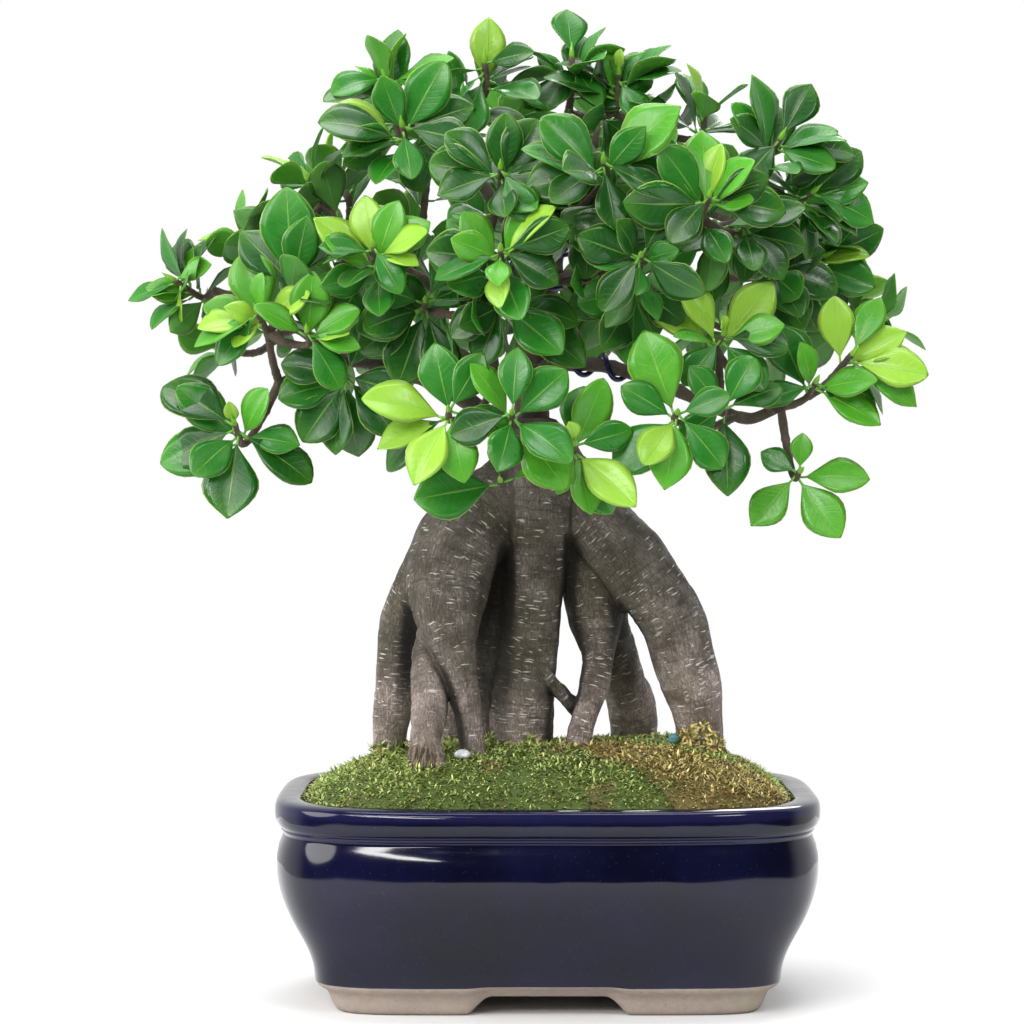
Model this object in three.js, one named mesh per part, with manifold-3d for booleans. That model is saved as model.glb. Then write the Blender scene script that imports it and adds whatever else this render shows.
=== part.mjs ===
// A ginseng ficus bonsai in a glazed four-footed pot. Millimetres, +Z up, +X to the right, +Y to the back.
import * as THREE from 'three';
import { mergeVertices } from 'three/addons/utils/BufferGeometryUtils.js';
import Module from 'manifold-3d';

const wasm = await Module();
wasm.setup();

// ---- Driving dimensions ----

const POT_LENGTH = 200; // over the lip, left to right
const POT_WIDTH = 154; // over the lip, front to back
const POT_HEIGHT = 76;
const POT_WALL = 9; // at the waist and the belly
const POT_FLOOR = 8; // thickness of the pot's floor
const LIP_WIDTH = 10; // from the lip's outer edge to the wall of the hollow
const FOOT_HEIGHT = 6.8; // height of the gaps between the feet
const FOOT_RING = 20; // width of the foot ring before the gaps are cut
const LONG_GAP = 44; // gap between the feet on a long side, at its top
const SHORT_GAP = 34; // the same on a short side
const GAP_FLARE = 8; // what each gap gains on each side by its foot
const CORNER_POWER = 4; // 2 is an ellipse, more is squarer
const CORNER_SQUARING = 0.175; // how much squarer the outside gets with each millimetre it draws in
const DRAIN_DIAMETER = 14;
const DRAIN_SPACING = 84;
const SCREEN_SIDE = 26; // the mesh square over each drain hole
const SCREEN_THICKNESS = 1.2;
const SOIL_DROP = 5; // from the rim down to the soil's edge
const MOSS_THICKNESS = 5;
const MOUND_RISE = 17; // height of the mossy mound over the rim
const TREE_WIDTH = 304; // across the leaves
const TREE_HEIGHT = 294; // from the pot's rim to the highest leaf
const LEAF_LENGTH = 28; // of a common full-grown leaf
const LEAF_THICKNESS = 1.2;
const TWIG_DIAMETER = 2.6;
const WIRE_DIAMETER = 2;
const PELLET_DIAMETER = 4;
const PEBBLE_LENGTH = 6;
const CLEARANCE = 0.3; // between pieces that touch

const POT_SIDES = 28;
const LIMB_SIDES = 6;
const BRANCH_SIDES = 5;
const TWIG_SIDES = 4;
const WIRE_SIDES = 4;

// The tree's points below are written for a tree of this size in a pot of this height.
const DRAWN = { width: 304, height: 294, pot: 76, leaf: 28 };
const SPREAD = TREE_WIDTH / DRAWN.width;
const RISE = TREE_HEIGHT / DRAWN.height;
const LEAF_SCALE = LEAF_LENGTH / DRAWN.leaf;

// ---- The tree's growth: points as [x, y, z, radius] from the pot's centre at floor level ----

const ROOTS = [
  ['neck', [
    [-2, 2, 184, 14.5], [-1, 3, 191, 15.5], [-2, 4, 199, 14], [-4, 5, 208, 9]
  ]],
  ['left lobe', [
    [-13, 4, 188, 13], [-24, -2, 178, 15.4], [-33.5, -7, 166, 16.6], [-36.5, -11, 153, 15.6],
    [-36.5, -17, 141, 12], [-34, -21, 129, 8.2], [-31, -22, 116, 6.5], [-28, -22.5, 98, 4.9],
    [-26, -22, 70, 3.5]
  ]],
  ['left finger', [
    [-45, -8, 160, 7.6], [-51, -4, 150, 7.4], [-55, -1, 138, 7.4], [-56.6, 0, 124, 7.2],
    [-57.6, 0, 110, 7.1], [-58.8, 0, 96, 6], [-59, 0, 70, 4]
  ]],
  ['stub finger', [
    [-42.5, -8, 142, 4.5], [-43.5, -13, 133, 5.4], [-43.6, -19, 122, 6.2], [-43.2, -25, 111, 6.8],
    [-44.2, -32, 99, 6], [-46, -38.5, 88, 4.2], [-47, -42, 70, 2.4]
  ]],
  ['stub rootlet', [
    [-43.5, -33, 102, 4], [-40.5, -39, 92, 2.5], [-38, -43, 76, 1.8]
  ]],
  ['shadow lobe', [
    [-11, 5, 178, 9], [-17, 6, 158, 9], [-19.5, 7, 140, 9.2], [-20.5, 8, 122, 8.8], [-21, 8, 106, 8],
    [-22, 8, 70, 6.5]
  ]],
  ['centre root', [
    [-2, -2, 190, 13.6], [-3.6, -4.5, 176, 12.4], [-4.4, -4, 162, 10.8], [-5, -1.5, 147, 10.2],
    [-6.8, 2, 130, 11.2], [-9.4, 4, 109, 12.3], [-9.8, 5, 94, 12], [-9, 6, 66, 9]
  ]],
  ['thin rootlet', [
    [-6.5, -1, 127, 4], [-1.5, -5.5, 119.5, 2.7], [4.5, -3.5, 112.5, 2.3], [10, 1, 105.5, 2.2],
    [13.5, 5, 97, 2], [18, 10, 76, 1.7]
  ]],
  ['hidden lobe', [
    [10, 4, 178, 11], [15.5, 6, 162, 12], [17.7, 5, 148, 11.4], [18.4, 4, 137, 9.4],
    [19.2, 1, 125, 6.3], [17, -2, 113.5, 5.5], [14.4, -5, 104, 4.9], [11.9, -7, 94, 4.3],
    [10, -9, 70, 3.6]
  ]],
  ['back right root', [
    [14, 12, 170, 10], [19, 17, 152, 8.6], [24.5, 25, 131, 8.2], [30, 34, 113, 8.8],
    [33.5, 40, 101, 9.2], [35.5, 44, 70, 7.5]
  ]],
  ['right arch', [
    [5, 4, 189, 12.6], [19, 0, 174, 13], [33.5, -2, 158.5, 13.2], [46, -2, 139, 12.4],
    [52, -1, 121, 11.5], [56, 1, 107, 9.8], [57.5, 3, 96, 8.9], [58, 5, 70, 7.5]
  ]],
  ['back left root', [
    [-6, 12, 180, 12], [-20, 26, 158, 11], [-30, 36, 134, 9.5], [-34, 42, 110, 8.6], [-36, 45, 70, 6.5]
  ]],
];

const BRANCHES = [
  ['branch_leader', [
    [-4, 5, 209.5, 5.4], [-5, 6, 225, 4.4], [-4, 8, 246, 4.2], [1, 10, 266, 3.8], [6, 12, 288, 3],
    [8, 12, 312, 2.2], [8, 10, 328, 1.5]
  ]],
  ['branch_right_high', [
    [1, 10, 264, 3.4], [18, 8, 268, 3.6], [36, 6, 272, 3.5], [56, 4, 281, 2.9], [78, 2, 288, 2.2],
    [92, 0, 291, 1.5]
  ]],
  ['branch_left_high', [
    [-4, 8, 248, 3], [-20, 0, 257, 3.2], [-39, -12, 262, 2.8], [-54, -16, 269, 2.3],
    [-66, -18, 280, 1.5]
  ]],
  ['branch_left_low', [
    [-12, 0, 202, 3.6], [-30, -8, 221, 3.4], [-55, -15, 232, 3], [-78, -20, 235, 2.4],
    [-98, -24, 227, 1.5]
  ]],
  ['branch_far_left', [
    [-78, -20, 235, 2.2], [-90, -16, 246, 2.1], [-108, -10, 255, 1.8], [-122, -8, 261, 1.4]
  ]],
  ['branch_right_low', [
    [-4.5, 6, 232, 3], [8, -2, 234, 2.8], [22, -7, 233, 2.6], [40, -13, 228, 2.5], [56, -24, 220, 2.3],
    [72, -34, 214, 2.1], [84, -38, 218, 1.5]
  ]],
  ['branch_top_left', [
    [1, 10, 266, 3], [-12, 12, 284, 2.8], [-28, 8, 306, 2.3], [-42, 2, 320, 1.5]
  ]],
  ['branch_front_stem', [
    [-10, -10, 199, 2.4], [-17, -17, 214, 2.2], [-20, -20, 235, 2.1], [-24.5, -24, 254, 2],
    [-26, -30, 268, 1.4]
  ]],
  ['branch_back', [
    [-6, 14, 200, 4.4], [-8, 34, 226, 4], [-8, 52, 250, 3], [-8, 66, 268, 1.6]
  ]],
  ['branch_back_left', [
    [-8, 34, 226, 3.2], [-34, 42, 238, 2.9], [-60, 46, 249, 2.4], [-84, 44, 258, 1.5]
  ]],
  ['branch_back_right', [
    [-8, 52, 250, 3], [20, 52, 258, 2.8], [50, 48, 266, 2.4], [80, 40, 268, 1.5]
  ]],
];

// Each wire: the branch it trains, where its coil starts and ends along it (0 to 1), and its turns.
const WIRES = [
  ['training_wire_leader', 'branch_leader', 0.3, 0.62, 3],
  ['training_wire_right', 'branch_right_low', 0.16, 0.56, 3],
];

// Each shoot: its name, then its leaf rosettes as [x, y, z, facing x, y, z, leaves]. A leaf is its direction
// seen from the front in degrees, its lean to the front in degrees, its length, and its age from 0, old and
// dark, to 3, new and lime. A bare number stands for that many leaves in a natural spiral.
const SHOOTS = [
  ['shoot_lower_left', [
    [-113, -40, 212, -0.15, -0.85, 0.5, [
      [194, 5, 31, 1], [140, 10, 31, 1], [60, 25, 23, 2], [352, 15, 23, 1], [223, 30, 25, 1],
      [264, 20, 33, 0], [325, 5, 33, 0], [205, -15, 28, 0], [152, -20, 33, 0], [100, 45, 12, 3]
    ]],
  ]],
  ['shoot_far_left', [
    [-138, -10, 265, -0.7, -0.5, 0.45, [
      [172, 10, 20, 2], [190, 0, 12, 3], [187, 15, 18, 2], [84, 10, 16, 2], [112, 0, 24, 1],
      [56, -10, 24, 0], [275, 20, 15, 3], [200, -10, 20, 1], [20, 30, 18, 2]
    ]],
  ]],
  ['shoot_left_front', [
    [-104, -50, 252, -0.2, -0.8, 0.55, [
      [105, -5, 30, 2], [159, 10, 24, 2], [153, 30, 18, 3], [184, 15, 24, 3], [225, 35, 16, 3],
      [28, 20, 22, 3], [85, 20, 17, 2], [207, 10, 26, 2], [232, -5, 24, 1]
    ]],
    [-92, -42, 263, -0.1, -0.8, 0.5, [
      [94, 5, 37, 1], [78, 15, 27, 1], [135, -10, 28, 0], [50, -15, 28, 0]
    ]],
    [-86, -56, 245, 0, -0.85, 0.5, [
      [85, 10, 26, 2], [8, 30, 18, 3], [28, 10, 22, 2], [150, 10, 22, 2], [345, 5, 20, 2],
      [300, -10, 24, 1]
    ]],
  ]],
  ['shoot_left_hanging', [
    [-73, -40, 230, 0, -0.9, 0.2, [
      [195, 10, 26, 1], [235, 10, 28, 0], [262, 5, 28, 0], [278, -15, 30, 0], [310, 0, 28, 0],
      [345, 10, 24, 0], [170, -5, 24, 0], [60, -15, 24, 0]
    ]],
  ]],
  ['shoot_left_crown', [
    [-62, -65, 275, -0.1, -0.75, 0.65, [
      [140, 5, 30, 3], [150, 25, 24, 2], [100, -5, 26, 3], [70, 10, 24, 2], [35, 10, 24, 2],
      [25, 30, 24, 3], [345, 30, 19, 3], [175, 10, 20, 1], [197, 20, 20, 1], [300, 10, 20, 1]
    ]],
  ]],
  ['shoot_centre_inner', [
    [-44, -50, 256, 0, -0.9, 0.3, [
      [197, 15, 27, 1], [250, 0, 30, 0], [285, 5, 30, 0], [215, -10, 30, 0], [160, 0, 24, 1],
      [20, 0, 26, 0], [60, 5, 26, 1]
    ]],
    [-16, -64, 256, 0.1, -0.9, 0.3, [
      [324, 0, 37, 0], [320, 22, 30, 1], [345, -5, 28, 0], [250, -10, 26, 0], [215, -15, 24, 0]
    ]],
  ]],
  ['shoot_centre_lime', [
    [-17, -80, 273, 0, -0.9, 0.4, [
      [125, 10, 24, 2], [137, -10, 26, 1], [60, 10, 23, 2], [44, 15, 28, 3], [158, 20, 20, 2],
      [270, 30, 21, 3], [265, 45, 16, 2], [202, 5, 25, 1], [20, 0, 26, 0], [330, -10, 24, 0]
    ]],
  ]],
  ['shoot_top_left', [
    [-59, -30, 338, -0.2, -0.4, 0.85, [
      [85, 0, 27, 1], [137, 10, 18, 2], [165, 5, 20, 0], [110, 30, 24, 2], [70, 20, 22, 3],
      [20, 15, 27, 2], [350, 25, 24, 1], [200, 20, 22, 1]
    ]],
    [-52, -55, 318, -0.1, -0.8, 0.6, [
      [153, 15, 31, 3], [163, -5, 30, 0], [187, 5, 24, 1], [170, 20, 33, 0], [110, 15, 24, 1],
      [60, 10, 30, 1], [20, 0, 27, 0], [280, 20, 20, 1], [345, 10, 25, 0]
    ]],
  ]],
  ['shoot_top_lime', [
    [-23, -20, 344, 0, -0.35, 0.9, [
      [87, 0, 27, 3], [80, -12, 22, 2], [20, 0, 18, 1], [338, 0, 28, 1], [250, 25, 30, 1],
      [232, 32, 26, 1], [200, 10, 22, 1], [10, 22, 20, 0]
    ]],
  ]],
  ['shoot_top_inner', [
    [-17, -70, 302, 0, -0.85, 0.5, [
      [85, 10, 26, 0], [60, 0, 26, 0], [140, 5, 26, 0], [30, -10, 24, 0], [170, -5, 26, 0],
      [200, 10, 24, 0], [330, 0, 24, 0], [300, 12, 22, 1]
    ]],
  ]],
  ['shoot_top_right', [
    [26, -15, 340, 0.05, -0.35, 0.9, [
      [58, 0, 24, 1], [102, 5, 20, 2], [166, 20, 30, 0], [150, 0, 22, 0], [40, 5, 26, 1],
      [158, -10, 25, 0], [10, 10, 24, 1], [300, 30, 22, 1], [85, 15, 10, 3]
    ]],
  ]],
  ['shoot_centre_crown', [
    [19, -75, 304, 0, -0.85, 0.55, [
      [159, 15, 32, 1], [135, 5, 31, 1], [42, 10, 37, 2], [48, 24, 24, 1], [192, 0, 28, 0],
      [20, -10, 28, 0], [215, 20, 24, 0], [280, 10, 24, 0], [330, 5, 26, 0]
    ]],
    [15, -58, 285, 0, -0.9, 0.3, [
      [165, 10, 28, 0], [188, 0, 28, 0], [350, 5, 24, 0], [100, -10, 24, 0], [265, 5, 22, 0]
    ]],
  ]],
  ['shoot_right_crown', [
    [56, -75, 292, 0.1, -0.85, 0.5, [
      [118, 10, 25, 2], [76, 0, 26, 3], [46, 25, 27, 2], [127, 20, 29, 1], [92, -20, 30, 2],
      [5, 25, 18, 2], [180, 15, 31, 0], [22, 5, 23, 0], [350, -5, 28, 0], [230, 10, 22, 0]
    ]],
    [70, -52, 283, 0.1, -0.9, 0.3, [
      [345, 10, 24, 0], [20, 5, 24, 0], [200, 5, 24, 0], [270, 0, 20, 0], [305, 5, 24, 0]
    ]],
  ]],
  ['shoot_right_shoulder', [
    [84, -35, 315, 0.35, -0.6, 0.7, [
      [101, 0, 32, 1], [127, 15, 25, 1], [20, -5, 26, 1], [8, 10, 27, 1], [340, 20, 24, 1],
      [355, -15, 30, 0], [60, -15, 26, 0], [230, 10, 24, 0]
    ]],
  ]],
  ['shoot_right_upper', [
    [96, -30, 296, 0.6, -0.6, 0.5, [
      [357, 5, 28, 2], [18, 0, 28, 1], [312, 15, 22, 0], [275, 10, 22, 0], [153, 20, 23, 0],
      [40, -15, 28, 0], [200, 15, 22, 0], [335, -10, 26, 1]
    ]],
  ]],
  ['shoot_right_edge', [
    [103, 0, 274, 0.8, -0.4, 0.4, [
      [8, 10, 24, 3], [340, 5, 26, 1], [300, 10, 24, 0], [200, 20, 20, 0], [60, -10, 26, 0],
      [25, -12, 26, 0]
    ]],
    [82, -24, 269, 0.3, -0.9, 0.1, [
      [270, 0, 26, 0], [300, 0, 26, 0], [240, -10, 26, 0], [340, -5, 26, 0]
    ]],
  ]],
  ['shoot_round_leaf', [
    [32, -78, 271, 0, -0.95, 0.2, [
      [180, 20, 20, 1], [262, 35, 15, 1], [15, 30, 16, 1], [160, 5, 24, 0], [151, -15, 30, 0],
      [60, -10, 26, 0], [330, 0, 26, 0], [235, -5, 24, 0]
    ]],
    [31, -54, 262, 0, -0.95, 0.1, [
      [242, 15, 27, 0], [200, 0, 26, 0], [322, 5, 22, 0], [268, -10, 30, 1], [120, 0, 24, 0]
    ]],
  ]],
  ['shoot_lime_trio', [
    [62, -60, 244, 0.1, -0.9, 0.45, [
      [150, 0, 29, 3], [121, 5, 26, 3], [50, 0, 30, 3], [172, 25, 19, 2], [15, 15, 24, 2],
      [310, 10, 24, 1], [230, 5, 22, 1], [350, 0, 24, 0], [95, 50, 10, 3]
    ]],
    [62, -66, 218, 0, -0.95, 0.3, [
      [127, 10, 21, 1], [272, 15, 31, 0], [60, 0, 22, 1], [20, -20, 24, 0], [215, 0, 20, 1]
    ]],
  ]],
  ['shoot_far_right', [
    [96, -45, 227, 0.2, -0.85, 0.5, [
      [115, 5, 28, 1], [122, -12, 26, 1], [104, 18, 19, 2], [8, 22, 25, 2], [330, 10, 28, 2],
      [200, 0, 22, 1], [333, -12, 26, 0]
    ]],
    [109, -46, 237, 0.35, -0.8, 0.5, [
      [96, 5, 26, 3], [28, 10, 26, 3], [2, -8, 28, 3], [350, 12, 30, 3], [325, 2, 30, 2],
      [300, 0, 24, 1], [62, -12, 24, 2]
    ]],
  ]],
  ['shoot_lower_right', [
    [90, -50, 195, 0.2, -0.9, 0.3, [
      [358, 10, 27, 2], [305, 15, 28, 2], [228, 5, 25, 2], [150, -20, 16, 1], [85, 0, 14, 2]
    ]],
  ]],
  ['shoot_right_low', [
    [45, -75, 216, 0, -0.95, 0.3, [
      [110, 0, 34, 2], [149, 5, 23, 1], [233, 35, 25, 3], [222, 0, 30, 1], [260, 12, 27, 2],
      [20, 10, 20, 1], [310, -10, 26, 1]
    ]],
  ]],
  ['shoot_low_centre_right', [
    [9, -78, 205, 0.05, -0.95, 0.3, [
      [68, 10, 29, 2], [80, -10, 24, 1], [318, 20, 31, 3], [285, 10, 24, 2], [300, -15, 28, 1],
      [250, 10, 18, 2], [15, -15, 22, 1], [105, 45, 12, 3]
    ]],
  ]],
  ['shoot_low_centre', [
    [-13, -88, 216, 0, -0.95, 0.3, [
      [126, 5, 25, 2], [42, 0, 26, 1], [323, 30, 30, 1], [255, 35, 24, 1], [306, 5, 32, 2],
      [85, -10, 24, 1], [200, -15, 24, 0]
    ]],
    [-17, -66, 192, -0.1, -0.9, 0.3, [
      [190, 10, 32, 1], [18, 0, 28, 2], [95, 0, 18, 1]
    ]],
  ]],
  ['shoot_low_left', [
    [-35, -84, 217, -0.05, -0.95, 0.3, [
      [167, 15, 33, 3], [102, 0, 27, 1], [204, 5, 28, 3], [243, 20, 29, 3], [282, 10, 25, 2],
      [222, -20, 32, 0], [60, -10, 24, 1], [340, -15, 24, 1]
    ]],
  ]],
  ['shoot_top_middle', [
    [9, -10, 347, 0, -0.2, 1, [
      [58, 0, 24, 1], [150, 0, 22, 0], [190, 10, 24, 0], [20, 20, 22, 1], [240, 30, 24, 0],
      [300, 25, 22, 1], [95, -30, 22, 1]
    ]],
    [58, -12, 326, 0.3, -0.3, 0.9, 7],
  ]],
  ['shoot_right_side', [
    [124, 6, 250, 1, 0, 0.35, 6],
    [114, 40, 258, 0.8, 0.5, 0.4, 7],
  ]],
  ['shoot_back_right_low', [
    [92, 68, 250, 0.6, 0.7, 0.3, 7],
    [62, 78, 258, 0.35, 0.85, 0.35, 7],
  ]],
  ['shoot_back_right_high', [
    [96, 36, 294, 0.7, 0.4, 0.7, 7],
    [62, 58, 304, 0.4, 0.6, 0.8, 7],
  ]],
  ['shoot_back_centre_low', [
    [26, 88, 262, 0.1, 0.95, 0.3, 7],
    [-14, 92, 254, -0.1, 0.95, 0.25, 7],
  ]],
  ['shoot_back_centre_high', [
    [24, 76, 296, 0.1, 0.75, 0.7, 7],
    [20, 44, 328, 0.1, 0.4, 0.9, 7],
  ]],
  ['shoot_back_middle', [
    [-14, 84, 290, -0.05, 0.85, 0.5, 7],
    [-16, 50, 328, -0.1, 0.5, 0.9, 7],
  ]],
  ['shoot_back_left_low', [
    [-48, 84, 246, -0.2, 0.9, 0.3, 7],
    [-78, 74, 240, -0.5, 0.8, 0.3, 7],
  ]],
  ['shoot_back_left_high', [
    [-52, 66, 286, -0.3, 0.7, 0.6, 7],
    [-48, 34, 324, -0.3, 0.4, 0.85, 7],
  ]],
  ['shoot_left_back', [
    [-84, 58, 272, -0.5, 0.6, 0.6, 7],
    [-80, 28, 304, -0.5, 0.3, 0.8, 7],
  ]],
  ['shoot_left_side', [
    [-110, 44, 250, -0.8, 0.5, 0.4, 7],
    [-122, 14, 240, -1, 0.1, 0.2, 6],
  ]],
  ['shoot_left_top', [
    [-88, -10, 302, -0.5, -0.2, 0.85, 7],
    [-112, 6, 280, -0.8, 0, 0.6, 7],
  ]],
];

const SPIRAL_TURN = 137.5; // degrees from one leaf to the next up a shoot
const OLD_LEAF = { opening: 82, length: 30 }; // degrees away from the twig, and millimetres
const YOUNG_LEAF = { opening: 38, length: 20 };
const LEAF_STEP = 1.5; // along the twig, from one leaf to the next
const LEAF_FOOT_SINK = 0.5; // from the twig's tip down to the last leaf's foot
const STALK_SHARE = 0.3; // of a leaf's length, where it may touch its neighbours

const POT_GLAZE = { color: 0x10143a, roughness: 0.12, metalness: 0 };
const PLASTIC = { color: 0x2a2c2a, roughness: 0.6, metalness: 0 };
const SOIL = { color: 0x2b2119, roughness: 0.95, metalness: 0 };
const GREEN_MOSS = { color: 0x5c7026, roughness: 0.95, metalness: 0 };
const GOLDEN_MOSS = { color: 0x8f7d33, roughness: 0.95, metalness: 0 };
const BARK = { color: 0x7a6e60, roughness: 0.75, metalness: 0 };
const YOUNG_BARK = { color: 0x6b5a48, roughness: 0.75, metalness: 0 };
const LEAF = { color: 0x2f8f2a, roughness: 0.35, metalness: 0 };
const NAVY_WIRE = { color: 0x191a38, roughness: 0.35, metalness: 0.6 };
const STONE = { color: 0xb9bdc0, roughness: 0.7, metalness: 0 };
const FEED = { color: 0x2e6b70, roughness: 0.6, metalness: 0 };

// ---- Solids ----

// A geometry as a closed solid, with its faces turned outwards.
function solid(geometry) {
  const bare = geometry.clone();
  bare.deleteAttribute('normal');
  bare.deleteAttribute('uv');
  const merged = mergeVertices(bare, 1e-4);
  const corners = merged.attributes.position.array;
  const faces = new Uint32Array(merged.index.array);
  const made = new wasm.Manifold(new wasm.Mesh({ numProp: 3, vertProperties: corners, triVerts: faces }));
  if (made.volume() > 0) return made;
  faces.reverse();
  return new wasm.Manifold(new wasm.Mesh({ numProp: 3, vertProperties: corners, triVerts: faces }));
}

// The solid of a geometry after move(vertex) has put each vertex in its place.
function reshape(geometry, move) {
  const place = geometry.attributes.position;
  const vertex = new THREE.Vector3();
  for (let i = 0; i < place.count; i += 1) {
    const moved = move(vertex.fromBufferAttribute(place, i));
    place.setXYZ(i, moved.x, moved.y, moved.z);
  }
  return solid(geometry);
}

// A closed skin over a stack of rings. point(ring, angle) is on the ring, middle(ring) is its centre.
function skin(sides, rings, point, middle) {
  return reshape(new THREE.CylinderGeometry(1, 1, 1, sides, rings - 1), (v) => {
    const ring = Math.round((0.5 - v.y) * (rings - 1));
    return Math.hypot(v.x, v.z) < 0.5 ? middle(ring) : point(ring, Math.atan2(v.z, v.x));
  });
}

function union(solids) {
  return wasm.Manifold.union(solids);
}

// Whether two solids' bounding boxes meet.
function boxesMeet(a, b) {
  const p = a.boundingBox();
  const q = b.boundingBox();
  return [0, 1, 2].every((k) => p.min[k] < q.max[k] && q.min[k] < p.max[k]);
}

// What is left of a solid after the cutters near it, as the piece nearest to the point that holds it.
function trimmed(body, cutters, anchor) {
  let left = body;
  cutters.filter((cutter) => boxesMeet(body, cutter)).forEach((cutter) => {
    left = left.subtract(cutter);
  });
  const pieces = left.decompose();
  if (pieces.length < 2) return left;
  return pieces.reduce((best, piece) => (reach(piece, anchor) < reach(best, anchor) ? piece : best));
}

// The distance from a point to a solid's nearest corner.
function reach(body, anchor) {
  const mesh = body.getMesh();
  let nearest = Infinity;
  for (let i = 0; i < mesh.numVert; i += 1) {
    const [x, y, z] = mesh.vertProperties.subarray(i * mesh.numProp, i * mesh.numProp + 3);
    nearest = Math.min(nearest, Math.hypot(x - anchor.x, y - anchor.y, z - anchor.z));
  }
  return nearest;
}

// The largest separate piece of a solid.
function largest(body) {
  return body.decompose().reduce((best, piece) => (piece.volume() > best.volume() ? piece : best));
}

// ---- The pot's outline ----

const HALF_LENGTH = POT_LENGTH / 2;
const HALF_WIDTH = POT_WIDTH / 2;

// A point on a bowed rectangle with round corners, at an angle round its middle.
function outline(halfLength, halfWidth, z, angle, power = CORNER_POWER) {
  const bow = (value) => (Math.abs(value) < 1e-9 ? 0 : Math.sign(value) * Math.abs(value) ** (2 / power));
  return new THREE.Vector3(halfLength * bow(Math.cos(angle)), halfWidth * bow(Math.sin(angle)), z);
}

// A solid whose rings are the pot's rim drawn in by each [inset, height] of a profile.
function inRim(profile, squaring = 0) {
  return skin(POT_SIDES, profile.length,
    (ring, angle) => {
      const [inset, z] = profile[ring];
      const power = CORNER_POWER + squaring * inset;
      return outline(HALF_LENGTH - inset, HALF_WIDTH - inset, z, angle, power);
    },
    (ring) => new THREE.Vector3(0, 0, profile[ring][1]));
}

const BELLY = [[13.5, 0.24], [6.4, 0.4], [1.2, 0.57], [0.4, 0.72]];
const LIP = [[3.3, 12.5], [1.1, 9.6], [0, 7], [0, 3], [2.2, 0]];

// The outside: rounded foot, glaze step, waist and belly, then the neck and rolled lip down from the rim.
function outerProfile() {
  const foot = [[22.5, 0], [21.4, 1.4], [19.4, 6], [15.6, 10], [15, 12]];
  const belly = BELLY.map(([inset, share]) => [inset, share * POT_HEIGHT]);
  const lip = LIP.map(([inset, drop]) => [inset, POT_HEIGHT - drop]);
  return [...foot, ...belly, ...lip];
}

const HOLLOW_FLOOR = FOOT_HEIGHT + POT_FLOOR;

const HOLLOW_BOTTOM_DRAW = 18; // how much more than the wall the hollow is drawn in at its floor
const LIP_DEPTH = 12; // from the rim to where the hollow leaves the lip

// The wall of the hollow from its floor to the height given, drawn in by a gap.
function hollowProfile(top, gap) {
  const wall = [
    [POT_WALL + HOLLOW_BOTTOM_DRAW, HOLLOW_FLOOR + gap], [POT_WALL + 5, 0.45 * POT_HEIGHT],
    [POT_WALL, 0.62 * POT_HEIGHT], [LIP_WIDTH, POT_HEIGHT - LIP_DEPTH],
  ];
  return [...wall, [LIP_WIDTH, top]].map(([inset, z]) => [inset + gap, z]);
}

// A gap between two feet, from one side of the pot to the other: a trapezium with round upper corners.
function footGap(topWidth, turn) {
  const half = topWidth / 2;
  const below = 2;
  const shape = new THREE.Shape();
  shape.moveTo(-half - GAP_FLARE - below, -below);
  shape.lineTo(half + GAP_FLARE + below, -below);
  shape.quadraticCurveTo(half + 1, FOOT_HEIGHT * 0.45, half - 2, FOOT_HEIGHT);
  shape.lineTo(2 - half, FOOT_HEIGHT);
  shape.quadraticCurveTo(-half - 1, FOOT_HEIGHT * 0.45, -half - GAP_FLARE - below, -below);
  const gap = new THREE.ExtrudeGeometry(shape, { depth: POT_LENGTH, bevelEnabled: false, curveSegments: 5 });
  gap.translate(0, 0, -POT_LENGTH / 2).rotateX(Math.PI / 2).rotateZ(turn);
  return solid(gap);
}

// A round post along the pot's height, to cut a drain hole with.
function drain(side) {
  const post = new THREE.CylinderGeometry(DRAIN_DIAMETER / 2, DRAIN_DIAMETER / 2, POT_HEIGHT / 2, 16);
  return solid(post.rotateX(Math.PI / 2).translate(side * DRAIN_SPACING / 2, 0, POT_HEIGHT / 4));
}

function pot() {
  const under = inRim([[22.5 + FOOT_RING, -1], [22.5 + FOOT_RING, FOOT_HEIGHT]]);
  const hollow = inRim(hollowProfile(POT_HEIGHT + 1, 0));
  const gaps = [footGap(LONG_GAP, 0), footGap(SHORT_GAP, Math.PI / 2)];
  return inRim(outerProfile(), CORNER_SQUARING).subtract(union([hollow, under, ...gaps, drain(-1), drain(1)]));
}

// ---- What lies in the pot ----

const SCREEN_BOTTOM = HOLLOW_FLOOR + CLEARANCE;
const SCREEN_PITCH = SCREEN_SIDE / 3.4; // from one opening to the next, with a rim round the three rows
const SCREEN_OPENING = SCREEN_PITCH * 0.7;

// A square of plastic mesh with nine openings, over a drain hole.
function drainScreen(side) {
  const x = side * DRAIN_SPACING / 2;
  const sheet = new THREE.BoxGeometry(SCREEN_SIDE, SCREEN_SIDE, SCREEN_THICKNESS);
  sheet.translate(x, 0, SCREEN_BOTTOM + SCREEN_THICKNESS / 2);
  const openings = [-1, 0, 1].flatMap((column) => [-1, 0, 1].map((row) => {
    const opening = new THREE.BoxGeometry(SCREEN_OPENING, SCREEN_OPENING, SCREEN_THICKNESS * 3);
    return solid(opening.translate(x + column * SCREEN_PITCH, row * SCREEN_PITCH, SCREEN_BOTTOM));
  }));
  return solid(sheet).subtract(union(openings));
}

// The room that a screen takes out of the soil.
function screenRoom(side) {
  const width = SCREEN_SIDE + 2 * CLEARANCE;
  const room = new THREE.BoxGeometry(width, width, SCREEN_THICKNESS + 4 * CLEARANCE);
  room.translate(side * DRAIN_SPACING / 2, 0, SCREEN_BOTTOM + SCREEN_THICKNESS / 2);
  return solid(room);
}

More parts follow.
